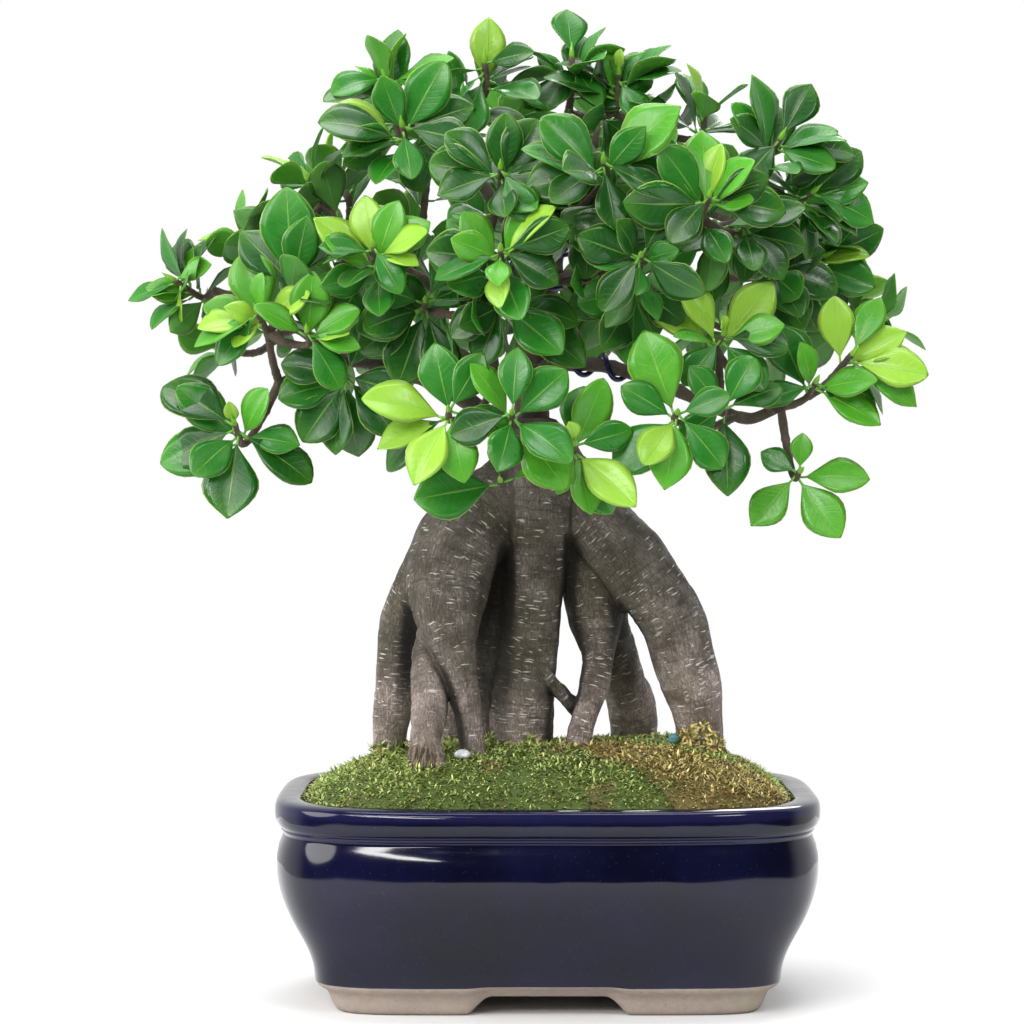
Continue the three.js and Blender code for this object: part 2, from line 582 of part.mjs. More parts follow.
const BED_LENGTH = HALF_LENGTH - LIP_WIDTH - CLEARANCE;
const BED_WIDTH = HALF_WIDTH - LIP_WIDTH - CLEARANCE;

// How far a place is from the middle of the bed: 0 there and 1 at the pot's wall.
function bedShare(x, y) {
  const along = Math.abs(x / BED_LENGTH) ** CORNER_POWER;
  const across = Math.abs(y / BED_WIDTH) ** CORNER_POWER;
  return (along + across) ** (1 / CORNER_POWER);
}

const MOUND_POWER = 3.2; // 1 is a cone, more is flatter in the middle
const BANK = { x: 52 * SPREAD, y: 12 * SPREAD, rise: 3.5, length: 26, width: 30 };

// Height of the moss: a mound that falls to the rim at the wall, with a low bank round the right roots.
function mossHeight(x, y) {
  const mound = MOUND_RISE * (1 - Math.min(1, bedShare(x, y)) ** MOUND_POWER);
  const fromBank = ((x - BANK.x) / BANK.length) ** 2 + ((y - BANK.y) / BANK.width) ** 2;
  return POT_HEIGHT + mound + BANK.rise * Math.exp(-fromBank);
}

const SOIL_SHARES = [0.84, 0.62, 0.35]; // of the bed's half size, where the soil's top has its rings

// The bed of soil: it fills the hollow and rises under the moss, its top lifted by the height given.
function soilBed(lift) {
  const wall = hollowProfile(POT_HEIGHT - SOIL_DROP + lift, CLEARANCE);
  const underMoss = (x, y) => mossHeight(x, y) - MOSS_THICKNESS + lift;
  const rings = [
    ...wall.map(([inset, z]) => ({
      length: HALF_LENGTH - inset, width: HALF_WIDTH - inset, height: () => z,
    })),
    ...SOIL_SHARES.map((share) => ({
      length: share * BED_LENGTH, width: share * BED_WIDTH, height: underMoss,
    })),
  ];
  return skin(POT_SIDES, rings.length,
    (ring, angle) => {
      const { length, width, height } = rings[ring];
      const at = outline(length, width, 0, angle);
      return at.setZ(height(at.x, at.y));
    },
    (ring) => new THREE.Vector3(0, 0, rings[ring].height(0, 0)));
}

function soil(roots) {
  return largest(soilBed(0).subtract(union([screenRoom(-1), screenRoom(1), roots])));
}

// A prism up through the pot, just inside the soil's wall.
function bedPrism() {
  const inset = LIP_WIDTH + 2 * CLEARANCE;
  return inRim([[inset, -1], [inset, 2 * POT_HEIGHT]]);
}

const RADIAL_STEPS = 3;
const PATCH_STEPS = 6;
const BED_START = 0.06; // share of the bed's half size where the patches start

// A patch of moss between two angles in degrees, from near the bed's middle out to the pot's wall. It starts
// deeper than the moss is thick, and what it rests on is cut out of it.
function mossPatch(from, to, cutters) {
  const patch = new THREE.BoxGeometry(1, 1, 1, RADIAL_STEPS, PATCH_STEPS, 1);
  const body = reshape(patch, (v) => {
    const share = BED_START + (1 - BED_START) * (v.x + 0.5);
    const angle = THREE.MathUtils.degToRad(THREE.MathUtils.lerp(from, to, v.y + 0.5));
    const at = outline(share * BED_LENGTH, share * BED_WIDTH, 0, angle);
    const top = mossHeight(at.x, at.y);
    return at.setZ(v.z > 0 ? top : top - 2 * MOSS_THICKNESS);
  });
  return largest(body.intersect(bedPrism()).subtract(union(cutters)));
}

const MOSS_PATCHES = [
  ['moss_front', 200, 285, GREEN_MOSS],
  ['moss_golden', 286, 356, GOLDEN_MOSS],
  ['moss_right_back', -3, 96, GREEN_MOSS],
  ['moss_left', 97, 199, GREEN_MOSS],
];

const NUGGET_SINK = 0.6; // how far a nugget sits down in the moss
const PELLET = { size: PELLET_DIAMETER, flatness: 1, x: 47 * SPREAD, y: -4 * SPREAD };
const PEBBLE = { size: PEBBLE_LENGTH, flatness: 0.6, x: -31 * SPREAD, y: -34 * SPREAD };

// A small rounded lump that lies on the moss, made fatter all round by grow.
function nugget({ size, flatness, x, y }, grow) {
  const lump = new THREE.SphereGeometry(size / 2 + grow, 8, 6);
  lump.rotateX(Math.PI / 2).scale(1, 0.85, flatness);
  lump.translate(x, y, mossHeight(x, y) + size * flatness / 2 - NUGGET_SINK);
  return solid(lump);
}

// ---- Wood ----

// A place on the tree, scaled from the size it is drawn at to the size it has here.
function onTree([x, y, z]) {
  return new THREE.Vector3(x * SPREAD, y * SPREAD, POT_HEIGHT + (z - DRAWN.pot) * RISE);
}

// A smooth centre line through [x, y, z, radius] points, with its radius at any share of its length.
function centreLine(points) {
  const curve = new THREE.CatmullRomCurve3(points.map(onTree), false, 'centripetal');
  const radii = points.map((point) => point[3] * SPREAD);
  const radiusAt = (u) => {
    const t = curve.getUtoTmapping(u) * (radii.length - 1);
    const i = Math.min(radii.length - 2, Math.floor(t));
    return THREE.MathUtils.lerp(radii[i], radii[i + 1], t - i);
  };
  return { curve, radiusAt };
}

// A tapering limb of wood along a centre line, made fatter all round by grow.
function limb(points, sides, grow) {
  const { curve, radiusAt } = centreLine(points);
  const steps = points.length;
  const frames = curve.computeFrenetFrames(steps, false);
  const middle = (ring) => {
    const reachOut = ring === 0 ? -grow : (ring === steps ? grow : 0);
    return curve.getPointAt(ring / steps).addScaledVector(frames.tangents[ring], reachOut);
  };
  return skin(sides, steps + 1,
    (ring, angle) => {
      const radius = radiusAt(ring / steps) + grow;
      return middle(ring)
        .addScaledVector(frames.normals[ring], radius * Math.cos(angle))
        .addScaledVector(frames.binormals[ring], radius * Math.sin(angle));
    },
    middle);
}

const THIN_ROOT = 5; // radius

// The whole rootstock in one piece, made fatter all round by grow.
function rootstock(grow) {
  return union(ROOTS.map(([, points]) => {
    const sides = points[0][3] > THIN_ROOT ? LIMB_SIDES : BRANCH_SIDES;
    return limb(points, sides, grow);
  }));
}

// ---- Training wire ----

const COIL_STEPS = 8; // per turn

// A wire wound round a branch: its middle runs at a clearance outside the bark.
function wire(branchPoints, from, to, turns, grow) {
  const { curve, radiusAt } = centreLine(branchPoints);
  const count = turns * COIL_STEPS;
  const frames = curve.computeFrenetFrames(count, false);
  const route = [];
  for (let i = 0; i <= count; i += 1) {
    const u = THREE.MathUtils.lerp(from, to, i / count);
    const along = Math.round(u * count);
    const turn = (i / COIL_STEPS) * 2 * Math.PI;
    const radius = radiusAt(u) + WIRE_DIAMETER / 2 + 2 * CLEARANCE;
    route.push(curve.getPointAt(u)
      .addScaledVector(frames.normals[along], radius * Math.cos(turn))
      .addScaledVector(frames.binormals[along], radius * Math.sin(turn)));
  }
  const corners = Array.from({ length: WIRE_SIDES }, (_, k) => (2 * Math.PI * k) / WIRE_SIDES);
  const thick = WIRE_DIAMETER / 2 + grow;
  const onSection = (a) => new THREE.Vector2(thick * Math.cos(a), thick * Math.sin(a));
  const section = new THREE.Shape(corners.map(onSection));
  const path = new THREE.CatmullRomCurve3(route);
  return solid(new THREE.ExtrudeGeometry(section, { steps: count, extrudePath: path, bevelEnabled: false }));
}

// ---- Leafy shoots ----

const LEAF_WIDEST = 0.56; // where along the leaf it is widest
const LEAF_HALF_WIDTH = 0.31; // as a share of its length
const TIP_DROOP = 0.08; // the same

// A leaf as a thin kite folded along its midrib: foot and tip on the keel, its widest corners raised.
function leaf(foot, direction, facing, length, grow) {
  const across = new THREE.Vector3().crossVectors(facing, direction).normalize();
  const up = new THREE.Vector3().crossVectors(direction, across).normalize();
  return reshape(new THREE.TetrahedronGeometry(1), (v) => {
    const side = Math.sign(v.x);
    const onKeel = v.z > 0;
    const along = onKeel ? (length / 2) * (1 + side) + grow * side : LEAF_WIDEST * length;
    const wide = onKeel ? 0 : side * (LEAF_HALF_WIDTH * length + grow);
    const droop = side > 0 ? TIP_DROOP * length : 0;
    const high = onKeel ? -LEAF_THICKNESS / 2 - grow - droop : LEAF_THICKNESS / 2 + grow;
    const onLeaf = foot.clone().addScaledVector(direction, along);
    return onLeaf.addScaledVector(across, wide).addScaledVector(up, high);
  });
}

// The directions and lengths of a rosette's leaves, the oldest first. Each shoot's number turns its spiral.
function rosetteLeaves(leaves, facing, number) {
  if (Array.isArray(leaves)) {
    return leaves.map(([angle, lean, length]) => {
      const a = THREE.MathUtils.degToRad(angle);
      const b = THREE.MathUtils.degToRad(lean);
      const direction = new THREE.Vector3(Math.cos(a) * Math.cos(b), -Math.sin(b), Math.sin(a) * Math.cos(b));
      return { direction, length };
    });
  }
  const side = new THREE.Vector3(facing.z, 0.2, -facing.x).cross(facing).normalize();
  return Array.from({ length: leaves }, (_, k) => {
    const young = k / (leaves - 1);
    const opened = THREE.MathUtils.lerp(OLD_LEAF.opening, YOUNG_LEAF.opening, young);
    const opening = THREE.MathUtils.degToRad(opened);
    const turned = THREE.MathUtils.degToRad(SPIRAL_TURN * (k + number * 0.7));
    const outwards = side.clone().applyAxisAngle(facing, turned).multiplyScalar(Math.sin(opening));
    const direction = outwards.addScaledVector(facing, Math.cos(opening));
    return { direction, length: THREE.MathUtils.lerp(OLD_LEAF.length, YOUNG_LEAF.length, young) };
  });
}

const FIRST_SHOOT = 0.12; // share of a branch's length that carries no shoots
const SHOOT_SPACING = 0.04; // between the places along a branch where a shoot may start

// The point of a branch's centre line nearest to a place.
function nearestOnBranches(place, lines) {
  let best = { distance: Infinity };
  lines.forEach(({ curve }) => {
    for (let u = FIRST_SHOOT; u <= 1; u += SHOOT_SPACING) {
      const point = curve.getPointAt(u);
      const distance = point.distanceTo(place);
      if (distance < best.distance) best = { distance, point };
    }
  });
  return best.point;
}

const TWIG_SAG = 0.08; // of the twig's length

// The points of a twig that leaves its branch, bends, and runs straight out along the way its rosette faces.
function twigPoints(start, tip, facing, leafCount) {
  const run = LEAF_STEP * leafCount;
  const last = tip.clone().addScaledVector(facing, -run);
  const middle = start.clone().lerp(last, 0.5);
  middle.z -= start.distanceTo(last) * TWIG_SAG;
  return [start, middle, last, tip];
}

const TWIG_ROOT_SWELL = 1.25; // the twig's thickness where it starts, as a share of its middle
const TWIG_TAPER = 0.12; // what it loses from each point to the next

// A twig through its points, made fatter all round by grow.
function twig(points, grow) {
  const tangents = points.map((point, i) => {
    const before = points[Math.max(0, i - 1)];
    const after = points[Math.min(points.length - 1, i + 1)];
    return after.clone().sub(before).normalize();
  });
  const middle = (ring) => {
    const reachOut = ring === points.length - 1 ? grow : 0;
    return points[ring].clone().addScaledVector(tangents[ring], reachOut);
  };
  const radius = (ring) => (TWIG_DIAMETER / 2) * (TWIG_ROOT_SWELL - TWIG_TAPER * ring) + grow;
  const leaning = new THREE.Vector3(0.36, 0.48, 0.8); // no twig runs this way
  return skin(TWIG_SIDES, points.length,
    (ring, angle) => {
      const across = leaning.clone().cross(tangents[ring]).normalize();
      const up = tangents[ring].clone().cross(across);
      return middle(ring)
        .addScaledVector(across, radius(ring) * Math.cos(angle))
        .addScaledVector(up, radius(ring) * Math.sin(angle));
    },
    middle);
}

// A shoot's twigs: the first grows from the nearest branch, the next from the end of the first one's bend.
function shootTwigs(rosettes, lines) {
  const stems = [];
  rosettes.forEach(([x, y, z, fx, fy, fz, leaves]) => {
    const tip = onTree([x, y, z]);
    const facing = new THREE.Vector3(fx, fy, fz).normalize();
    const start = stems.length ? stems[0][1] : nearestOnBranches(tip, lines);
    stems.push(twigPoints(start, tip, facing, Array.isArray(leaves) ? leaves.length : leaves));
  });
  return stems;
}

// Ways that a leaf may grow to find room: [turn about the twig, lean away from it, share of its length].
const WAYS = [
  [0, 0, 1], [12, 0, 1], [-12, 0, 1], [0, 12, 1], [0, -12, 1], [22, 8, 1], [-22, 8, 1],
  [0, -24, 0.9], [16, -16, 0.9], [-16, -16, 0.9], [0, 0, 0.75], [30, 0, 0.75], [-30, 0, 0.75],
  [0, 0, 0.55], [15, -10, 0.5], [-15, -10, 0.5], [0, 0, 0.35],
];

// Whether a solid runs into any of the rooms that other pieces keep for themselves.
function blocked(body, rooms) {
  return rooms.some((room) => boxesMeet(body, room) && body.intersect(room).volume() > 0);
}

// A leaf grown the first way that keeps clear of what stands round it and of the blades of its own shoot,
// or none where there is no room.
function clearLeaf(foot, direction, facing, length, rooms, blades) {
  const away = new THREE.Vector3().crossVectors(facing, direction).normalize();
  for (const [turn, lean, share] of WAYS) {
    const way = direction.clone()
      .applyAxisAngle(away, THREE.MathUtils.degToRad(lean))
      .applyAxisAngle(facing, THREE.MathUtils.degToRad(turn));
    const long = length * share;
    const body = leaf(foot, way, facing, long, 0);
    const bladeFoot = foot.clone().addScaledVector(way, long * STALK_SHARE);
    const blade = leaf(bladeFoot, way, facing, long * (1 - STALK_SHARE), 0);
    if (!blocked(body, rooms) && !blocked(blade, blades)) {
      return { body, blade, room: leaf(foot, way, facing, long, CLEARANCE) };
    }
  }
  return null;
}

// The leaves of a shoot that find room, each with its foot in the twig.
function shootLeaves(rosettes, number, rooms) {
  const made = [];
  rosettes.forEach(([x, y, z, fx, fy, fz, leaves]) => {
    const tip = onTree([x, y, z]);
    const facing = new THREE.Vector3(fx, fy, fz).normalize();
    const list = rosetteLeaves(leaves, facing, number);
    list.forEach(({ direction, length }, k) => {
      const foot = tip.clone().addScaledVector(facing, -LEAF_STEP * (list.length - 1 - k) - LEAF_FOOT_SINK);
      const blades = made.map(({ blade }) => blade);
      const grown = clearLeaf(foot, direction, facing, length * LEAF_SCALE, rooms, blades);
      if (grown) made.push(grown);
    });
  });
  return made;
}

// Every shoot as one body, clear of the wood, the wires and the shoots before it.
function allShoots(wood) {
  const lines = BRANCHES.map(([, points]) => centreLine(points));
  const stems = SHOOTS.map(([, rosettes]) => shootTwigs(rosettes, lines));
  const stemRoom = stems.map((twigs) => union(twigs.map((points) => twig(points, CLEARANCE))));
  const leafRoom = [];
  return SHOOTS.map(([name, rosettes], number) => {
    const others = stemRoom.filter((_, i) => i !== number);
    const tip = stems[number][0][3];
    const earlier = [...wood, ...stemRoom.slice(0, number)];
    const stem = trimmed(union(stems[number].map((points) => twig(points, 0))), earlier, tip);
    const leaves = shootLeaves(rosettes, number, [...wood, ...others, ...leafRoom]);
    leafRoom.push(...leaves.map(({ room }) => room));
    return [name, largest(union([stem, ...leaves.map(({ body }) => body)]))];
  });
}

// ---- The whole ----

// A solid as a named mesh with its own finish.
function mesh(name, body, finish) {
  const { numVert, numProp, vertProperties, triVerts } = body.getMesh();
  const corners = new Float32Array(numVert * 3);
  for (let i = 0; i < numVert; i += 1) {
    corners.set(vertProperties.subarray(i * numProp, i * numProp + 3), i * 3);
  }
  const geometry = new THREE.BufferGeometry();
  geometry.setAttribute('position', new THREE.BufferAttribute(corners, 3));
  geometry.setIndex(new THREE.BufferAttribute(triVerts, 1));
  geometry.computeVertexNormals();
  const made = new THREE.Mesh(geometry, new THREE.MeshStandardMaterial(finish));
  made.name = name;
  return made;
}

const bonsai = new THREE.Group();
const rootRoom = rootstock(CLEARANCE);

bonsai.add(mesh('pot', pot(), POT_GLAZE));
bonsai.add(mesh('drain_screen_left', drainScreen(-1), PLASTIC));
bonsai.add(mesh('drain_screen_right', drainScreen(1), PLASTIC));
bonsai.add(mesh('soil', soil(rootRoom), SOIL));
bonsai.add(mesh('rootstock', rootstock(0), BARK));
bonsai.add(mesh('feed_pellet', nugget(PELLET, 0), FEED));
bonsai.add(mesh('pebble', nugget(PEBBLE, 0), STONE));

const underAndOnMoss = [rootRoom, soilBed(CLEARANCE), nugget(PELLET, CLEARANCE), nugget(PEBBLE, CLEARANCE)];
MOSS_PATCHES.forEach(([name, from, to, finish]) => {
  bonsai.add(mesh(name, mossPatch(from, to, underAndOnMoss), finish));
});

const wood = [rootRoom];
const branchPoints = new Map(BRANCHES);
WIRES.forEach(([, branch, from, to, turns]) => {
  wood.push(wire(branchPoints.get(branch), from, to, turns, CLEARANCE));
});
BRANCHES.forEach(([name, points]) => {
  const end = centreLine(points).curve.getPointAt(1);
  bonsai.add(mesh(name, trimmed(limb(points, BRANCH_SIDES, 0), wood, end), YOUNG_BARK));
  wood.push(limb(points, BRANCH_SIDES, CLEARANCE));
});
WIRES.forEach(([name, branch, from, to, turns]) => {
  const coil = wire(branchPoints.get(branch), from, to, turns, 0);
  const others = BRANCHES.filter(([other]) => other !== branch);
  const rooms = others.map(([, points]) => limb(points, BRANCH_SIDES, CLEARANCE));
  bonsai.add(mesh(name, largest(coil.subtract(union(rooms))), NAVY_WIRE));
});
allShoots(wood).forEach(([name, body]) => bonsai.add(mesh(name, body, LEAF)));

// The origin goes under the middle of the whole, on the surface that the feet stand on.
const bounds = new THREE.Box3().setFromObject(bonsai);
const centre = bounds.getCenter(new THREE.Vector3());
bonsai.position.set(-centre.x, -centre.y, -bounds.min.z);

export default bonsai;
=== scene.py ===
"""A ginseng ficus bonsai in a glazed pot: bark, glossy leaves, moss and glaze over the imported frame."""
import itertools
import math

import bpy
import numpy as np
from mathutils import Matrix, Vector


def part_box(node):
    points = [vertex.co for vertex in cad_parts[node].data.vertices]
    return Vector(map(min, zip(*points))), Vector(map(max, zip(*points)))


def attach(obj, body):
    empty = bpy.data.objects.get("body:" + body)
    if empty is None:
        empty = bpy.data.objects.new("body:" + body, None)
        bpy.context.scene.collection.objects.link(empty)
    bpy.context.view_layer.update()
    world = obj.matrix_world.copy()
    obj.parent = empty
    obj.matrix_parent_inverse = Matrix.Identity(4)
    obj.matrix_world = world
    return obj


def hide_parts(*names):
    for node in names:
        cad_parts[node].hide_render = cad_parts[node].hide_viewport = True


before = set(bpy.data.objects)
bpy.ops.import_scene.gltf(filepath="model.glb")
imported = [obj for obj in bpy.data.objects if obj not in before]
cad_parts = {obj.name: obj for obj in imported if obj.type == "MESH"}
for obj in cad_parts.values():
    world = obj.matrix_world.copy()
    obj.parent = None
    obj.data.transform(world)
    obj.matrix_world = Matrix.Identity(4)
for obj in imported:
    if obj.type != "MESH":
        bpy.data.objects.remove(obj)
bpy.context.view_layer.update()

import openvdb
from mathutils import Vector

MM = 0.001

# The pot's box places everything: points below are in millimetres from the pot's centre, at floor level.
POT_LOW, POT_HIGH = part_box("pot")
MIDDLE = ((POT_LOW.x + POT_HIGH.x) / 2, (POT_LOW.y + POT_HIGH.y) / 2)
HALF_LENGTH = (POT_HIGH.x - POT_LOW.x) / 2 / MM
HALF_WIDTH = (POT_HIGH.y - POT_LOW.y) / 2 / MM
POT_HEIGHT = POT_HIGH.z / MM
CORNER_POWER = 4
CORNER_SQUARING = 0.175  # how much squarer the outside gets with each millimetre it draws in
LIP_WIDTH = 10
FOOT_HEIGHT = 6.8
MOSS_THICKNESS = 5
MOUND_RISE = 17
MOUND_POWER = 3.2
LEAF_STEP = 1.5
SPIRAL_TURN = 137.5

# ---- The tree's growth: points as [x, y, z, radius] from the pot's centre at floor level ----

ROOTS = [
  ["neck", [
    [-2, 2, 184, 14.5], [-1, 3, 191, 15.5], [-2, 4, 199, 14], [-4, 5, 208, 9]
  ]],
  ["left lobe", [
    [-13, 4, 188, 13], [-24, -2, 178, 15.4], [-33.5, -7, 166, 16.6], [-36.5, -11, 153, 15.6],
    [-36.5, -17, 141, 12], [-34, -21, 129, 8.2], [-31, -22, 116, 6.5], [-28, -22.5, 98, 4.9],
    [-26, -22, 70, 3.5]
  ]],
  ["left finger", [
    [-45, -8, 160, 7.6], [-51, -4, 150, 7.4], [-55, -1, 138, 7.4], [-56.6, 0, 124, 7.2],
    [-57.6, 0, 110, 7.1], [-58.8, 0, 96, 6], [-59, 0, 70, 4]
  ]],
  ["stub finger", [
    [-42.5, -8, 142, 4.5], [-43.5, -13, 133, 5.4], [-43.6, -19, 122, 6.2], [-43.2, -25, 111, 6.8],
    [-44.2, -32, 99, 6], [-46, -38.5, 88, 4.2], [-47, -42, 70, 2.4]
  ]],
  ["stub rootlet", [
    [-43.5, -33, 102, 4], [-40.5, -39, 92, 2.5], [-38, -43, 76, 1.8]
  ]],
  ["shadow lobe", [
    [-11, 5, 178, 9], [-17, 6, 158, 9], [-19.5, 7, 140, 9.2], [-20.5, 8, 122, 8.8], [-21, 8, 106, 8],
    [-22, 8, 70, 6.5]
  ]],
  ["centre root", [
    [-2, -2, 190, 13.6], [-3.6, -4.5, 176, 12.4], [-4.4, -4, 162, 10.8], [-5, -1.5, 147, 10.2],
    [-6.8, 2, 130, 11.2], [-9.4, 4, 109, 12.3], [-9.8, 5, 94, 12], [-9, 6, 66, 9]
  ]],
  ["thin rootlet", [
    [-6.5, -1, 127, 4], [-1.5, -5.5, 119.5, 2.7], [4.5, -3.5, 112.5, 2.3], [10, 1, 105.5, 2.2],
    [13.5, 5, 97, 2], [18, 10, 76, 1.7]
  ]],
  ["hidden lobe", [
    [10, 4, 178, 11], [15.5, 6, 162, 12], [17.7, 5, 148, 11.4], [18.4, 4, 137, 9.4],
    [19.2, 1, 125, 6.3], [17, -2, 113.5, 5.5], [14.4, -5, 104, 4.9], [11.9, -7, 94, 4.3],
    [10, -9, 70, 3.6]
  ]],
  ["back right root", [
    [14, 12, 170, 10], [19, 17, 152, 8.6], [24.5, 25, 131, 8.2], [30, 34, 113, 8.8],
    [33.5, 40, 101, 9.2], [35.5, 44, 70, 7.5]
  ]],
  ["right arch", [
    [5, 4, 189, 12.6], [19, 0, 174, 13], [33.5, -2, 158.5, 13.2], [46, -2, 139, 12.4],
    [52, -1, 121, 11.5], [56, 1, 107, 9.8], [57.5, 3, 96, 8.9], [58, 5, 70, 7.5]
  ]],
  ["back left root", [
    [-6, 12, 180, 12], [-20, 26, 158, 11], [-30, 36, 134, 9.5], [-34, 42, 110, 8.6], [-36, 45, 70, 6.5]
  ]],
]

BRANCHES = [
  ["branch_leader", [
    [-4, 5, 209.5, 5.4], [-5, 6, 225, 4.4], [-4, 8, 246, 4.2], [1, 10, 266, 3.8], [6, 12, 288, 3],
    [8, 12, 312, 2.2], [8, 10, 328, 1.5]
  ]],
  ["branch_right_high", [
    [1, 10, 264, 3.4], [18, 8, 268, 3.6], [36, 6, 272, 3.5], [56, 4, 281, 2.9], [78, 2, 288, 2.2],
    [92, 0, 291, 1.5]
  ]],
  ["branch_left_high", [
    [-4, 8, 248, 3], [-20, 0, 257, 3.2], [-39, -12, 262, 2.8], [-54, -16, 269, 2.3],
    [-66, -18, 280, 1.5]
  ]],
  ["branch_left_low", [
    [-12, 0, 202, 3.6], [-30, -8, 221, 3.4], [-55, -15, 232, 3], [-78, -20, 235, 2.4],
    [-98, -24, 227, 1.5]
  ]],
  ["branch_far_left", [
    [-78, -20, 235, 2.2], [-90, -16, 246, 2.1], [-108, -10, 255, 1.8], [-122, -8, 261, 1.4]
  ]],
  ["branch_right_low", [
    [-4.5, 6, 232, 3], [8, -2, 234, 2.8], [22, -7, 233, 2.6], [40, -13, 228, 2.5], [56, -24, 220, 2.3],
    [72, -34, 214, 2.1], [84, -38, 218, 1.5]
  ]],
  ["branch_top_left", [
    [1, 10, 266, 3], [-12, 12, 284, 2.8], [-28, 8, 306, 2.3], [-42, 2, 320, 1.5]
  ]],
  ["branch_front_stem", [
    [-10, -10, 199, 2.4], [-17, -17, 214, 2.2], [-20, -20, 235, 2.1], [-24.5, -24, 254, 2],
    [-26, -30, 268, 1.4]
  ]],
  ["branch_back", [
    [-6, 14, 200, 4.4], [-8, 34, 226, 4], [-8, 52, 250, 3], [-8, 66, 268, 1.6]
  ]],
  ["branch_back_left", [
    [-8, 34, 226, 3.2], [-34, 42, 238, 2.9], [-60, 46, 249, 2.4], [-84, 44, 258, 1.5]
  ]],
  ["branch_back_right", [
    [-8, 52, 250, 3], [20, 52, 258, 2.8], [50, 48, 266, 2.4], [80, 40, 268, 1.5]
  ]],
]

WIRES = [
  ["training_wire_leader", "branch_leader", 0.3, 0.62, 3],
  ["training_wire_right", "branch_right_low", 0.16, 0.56, 3],
]

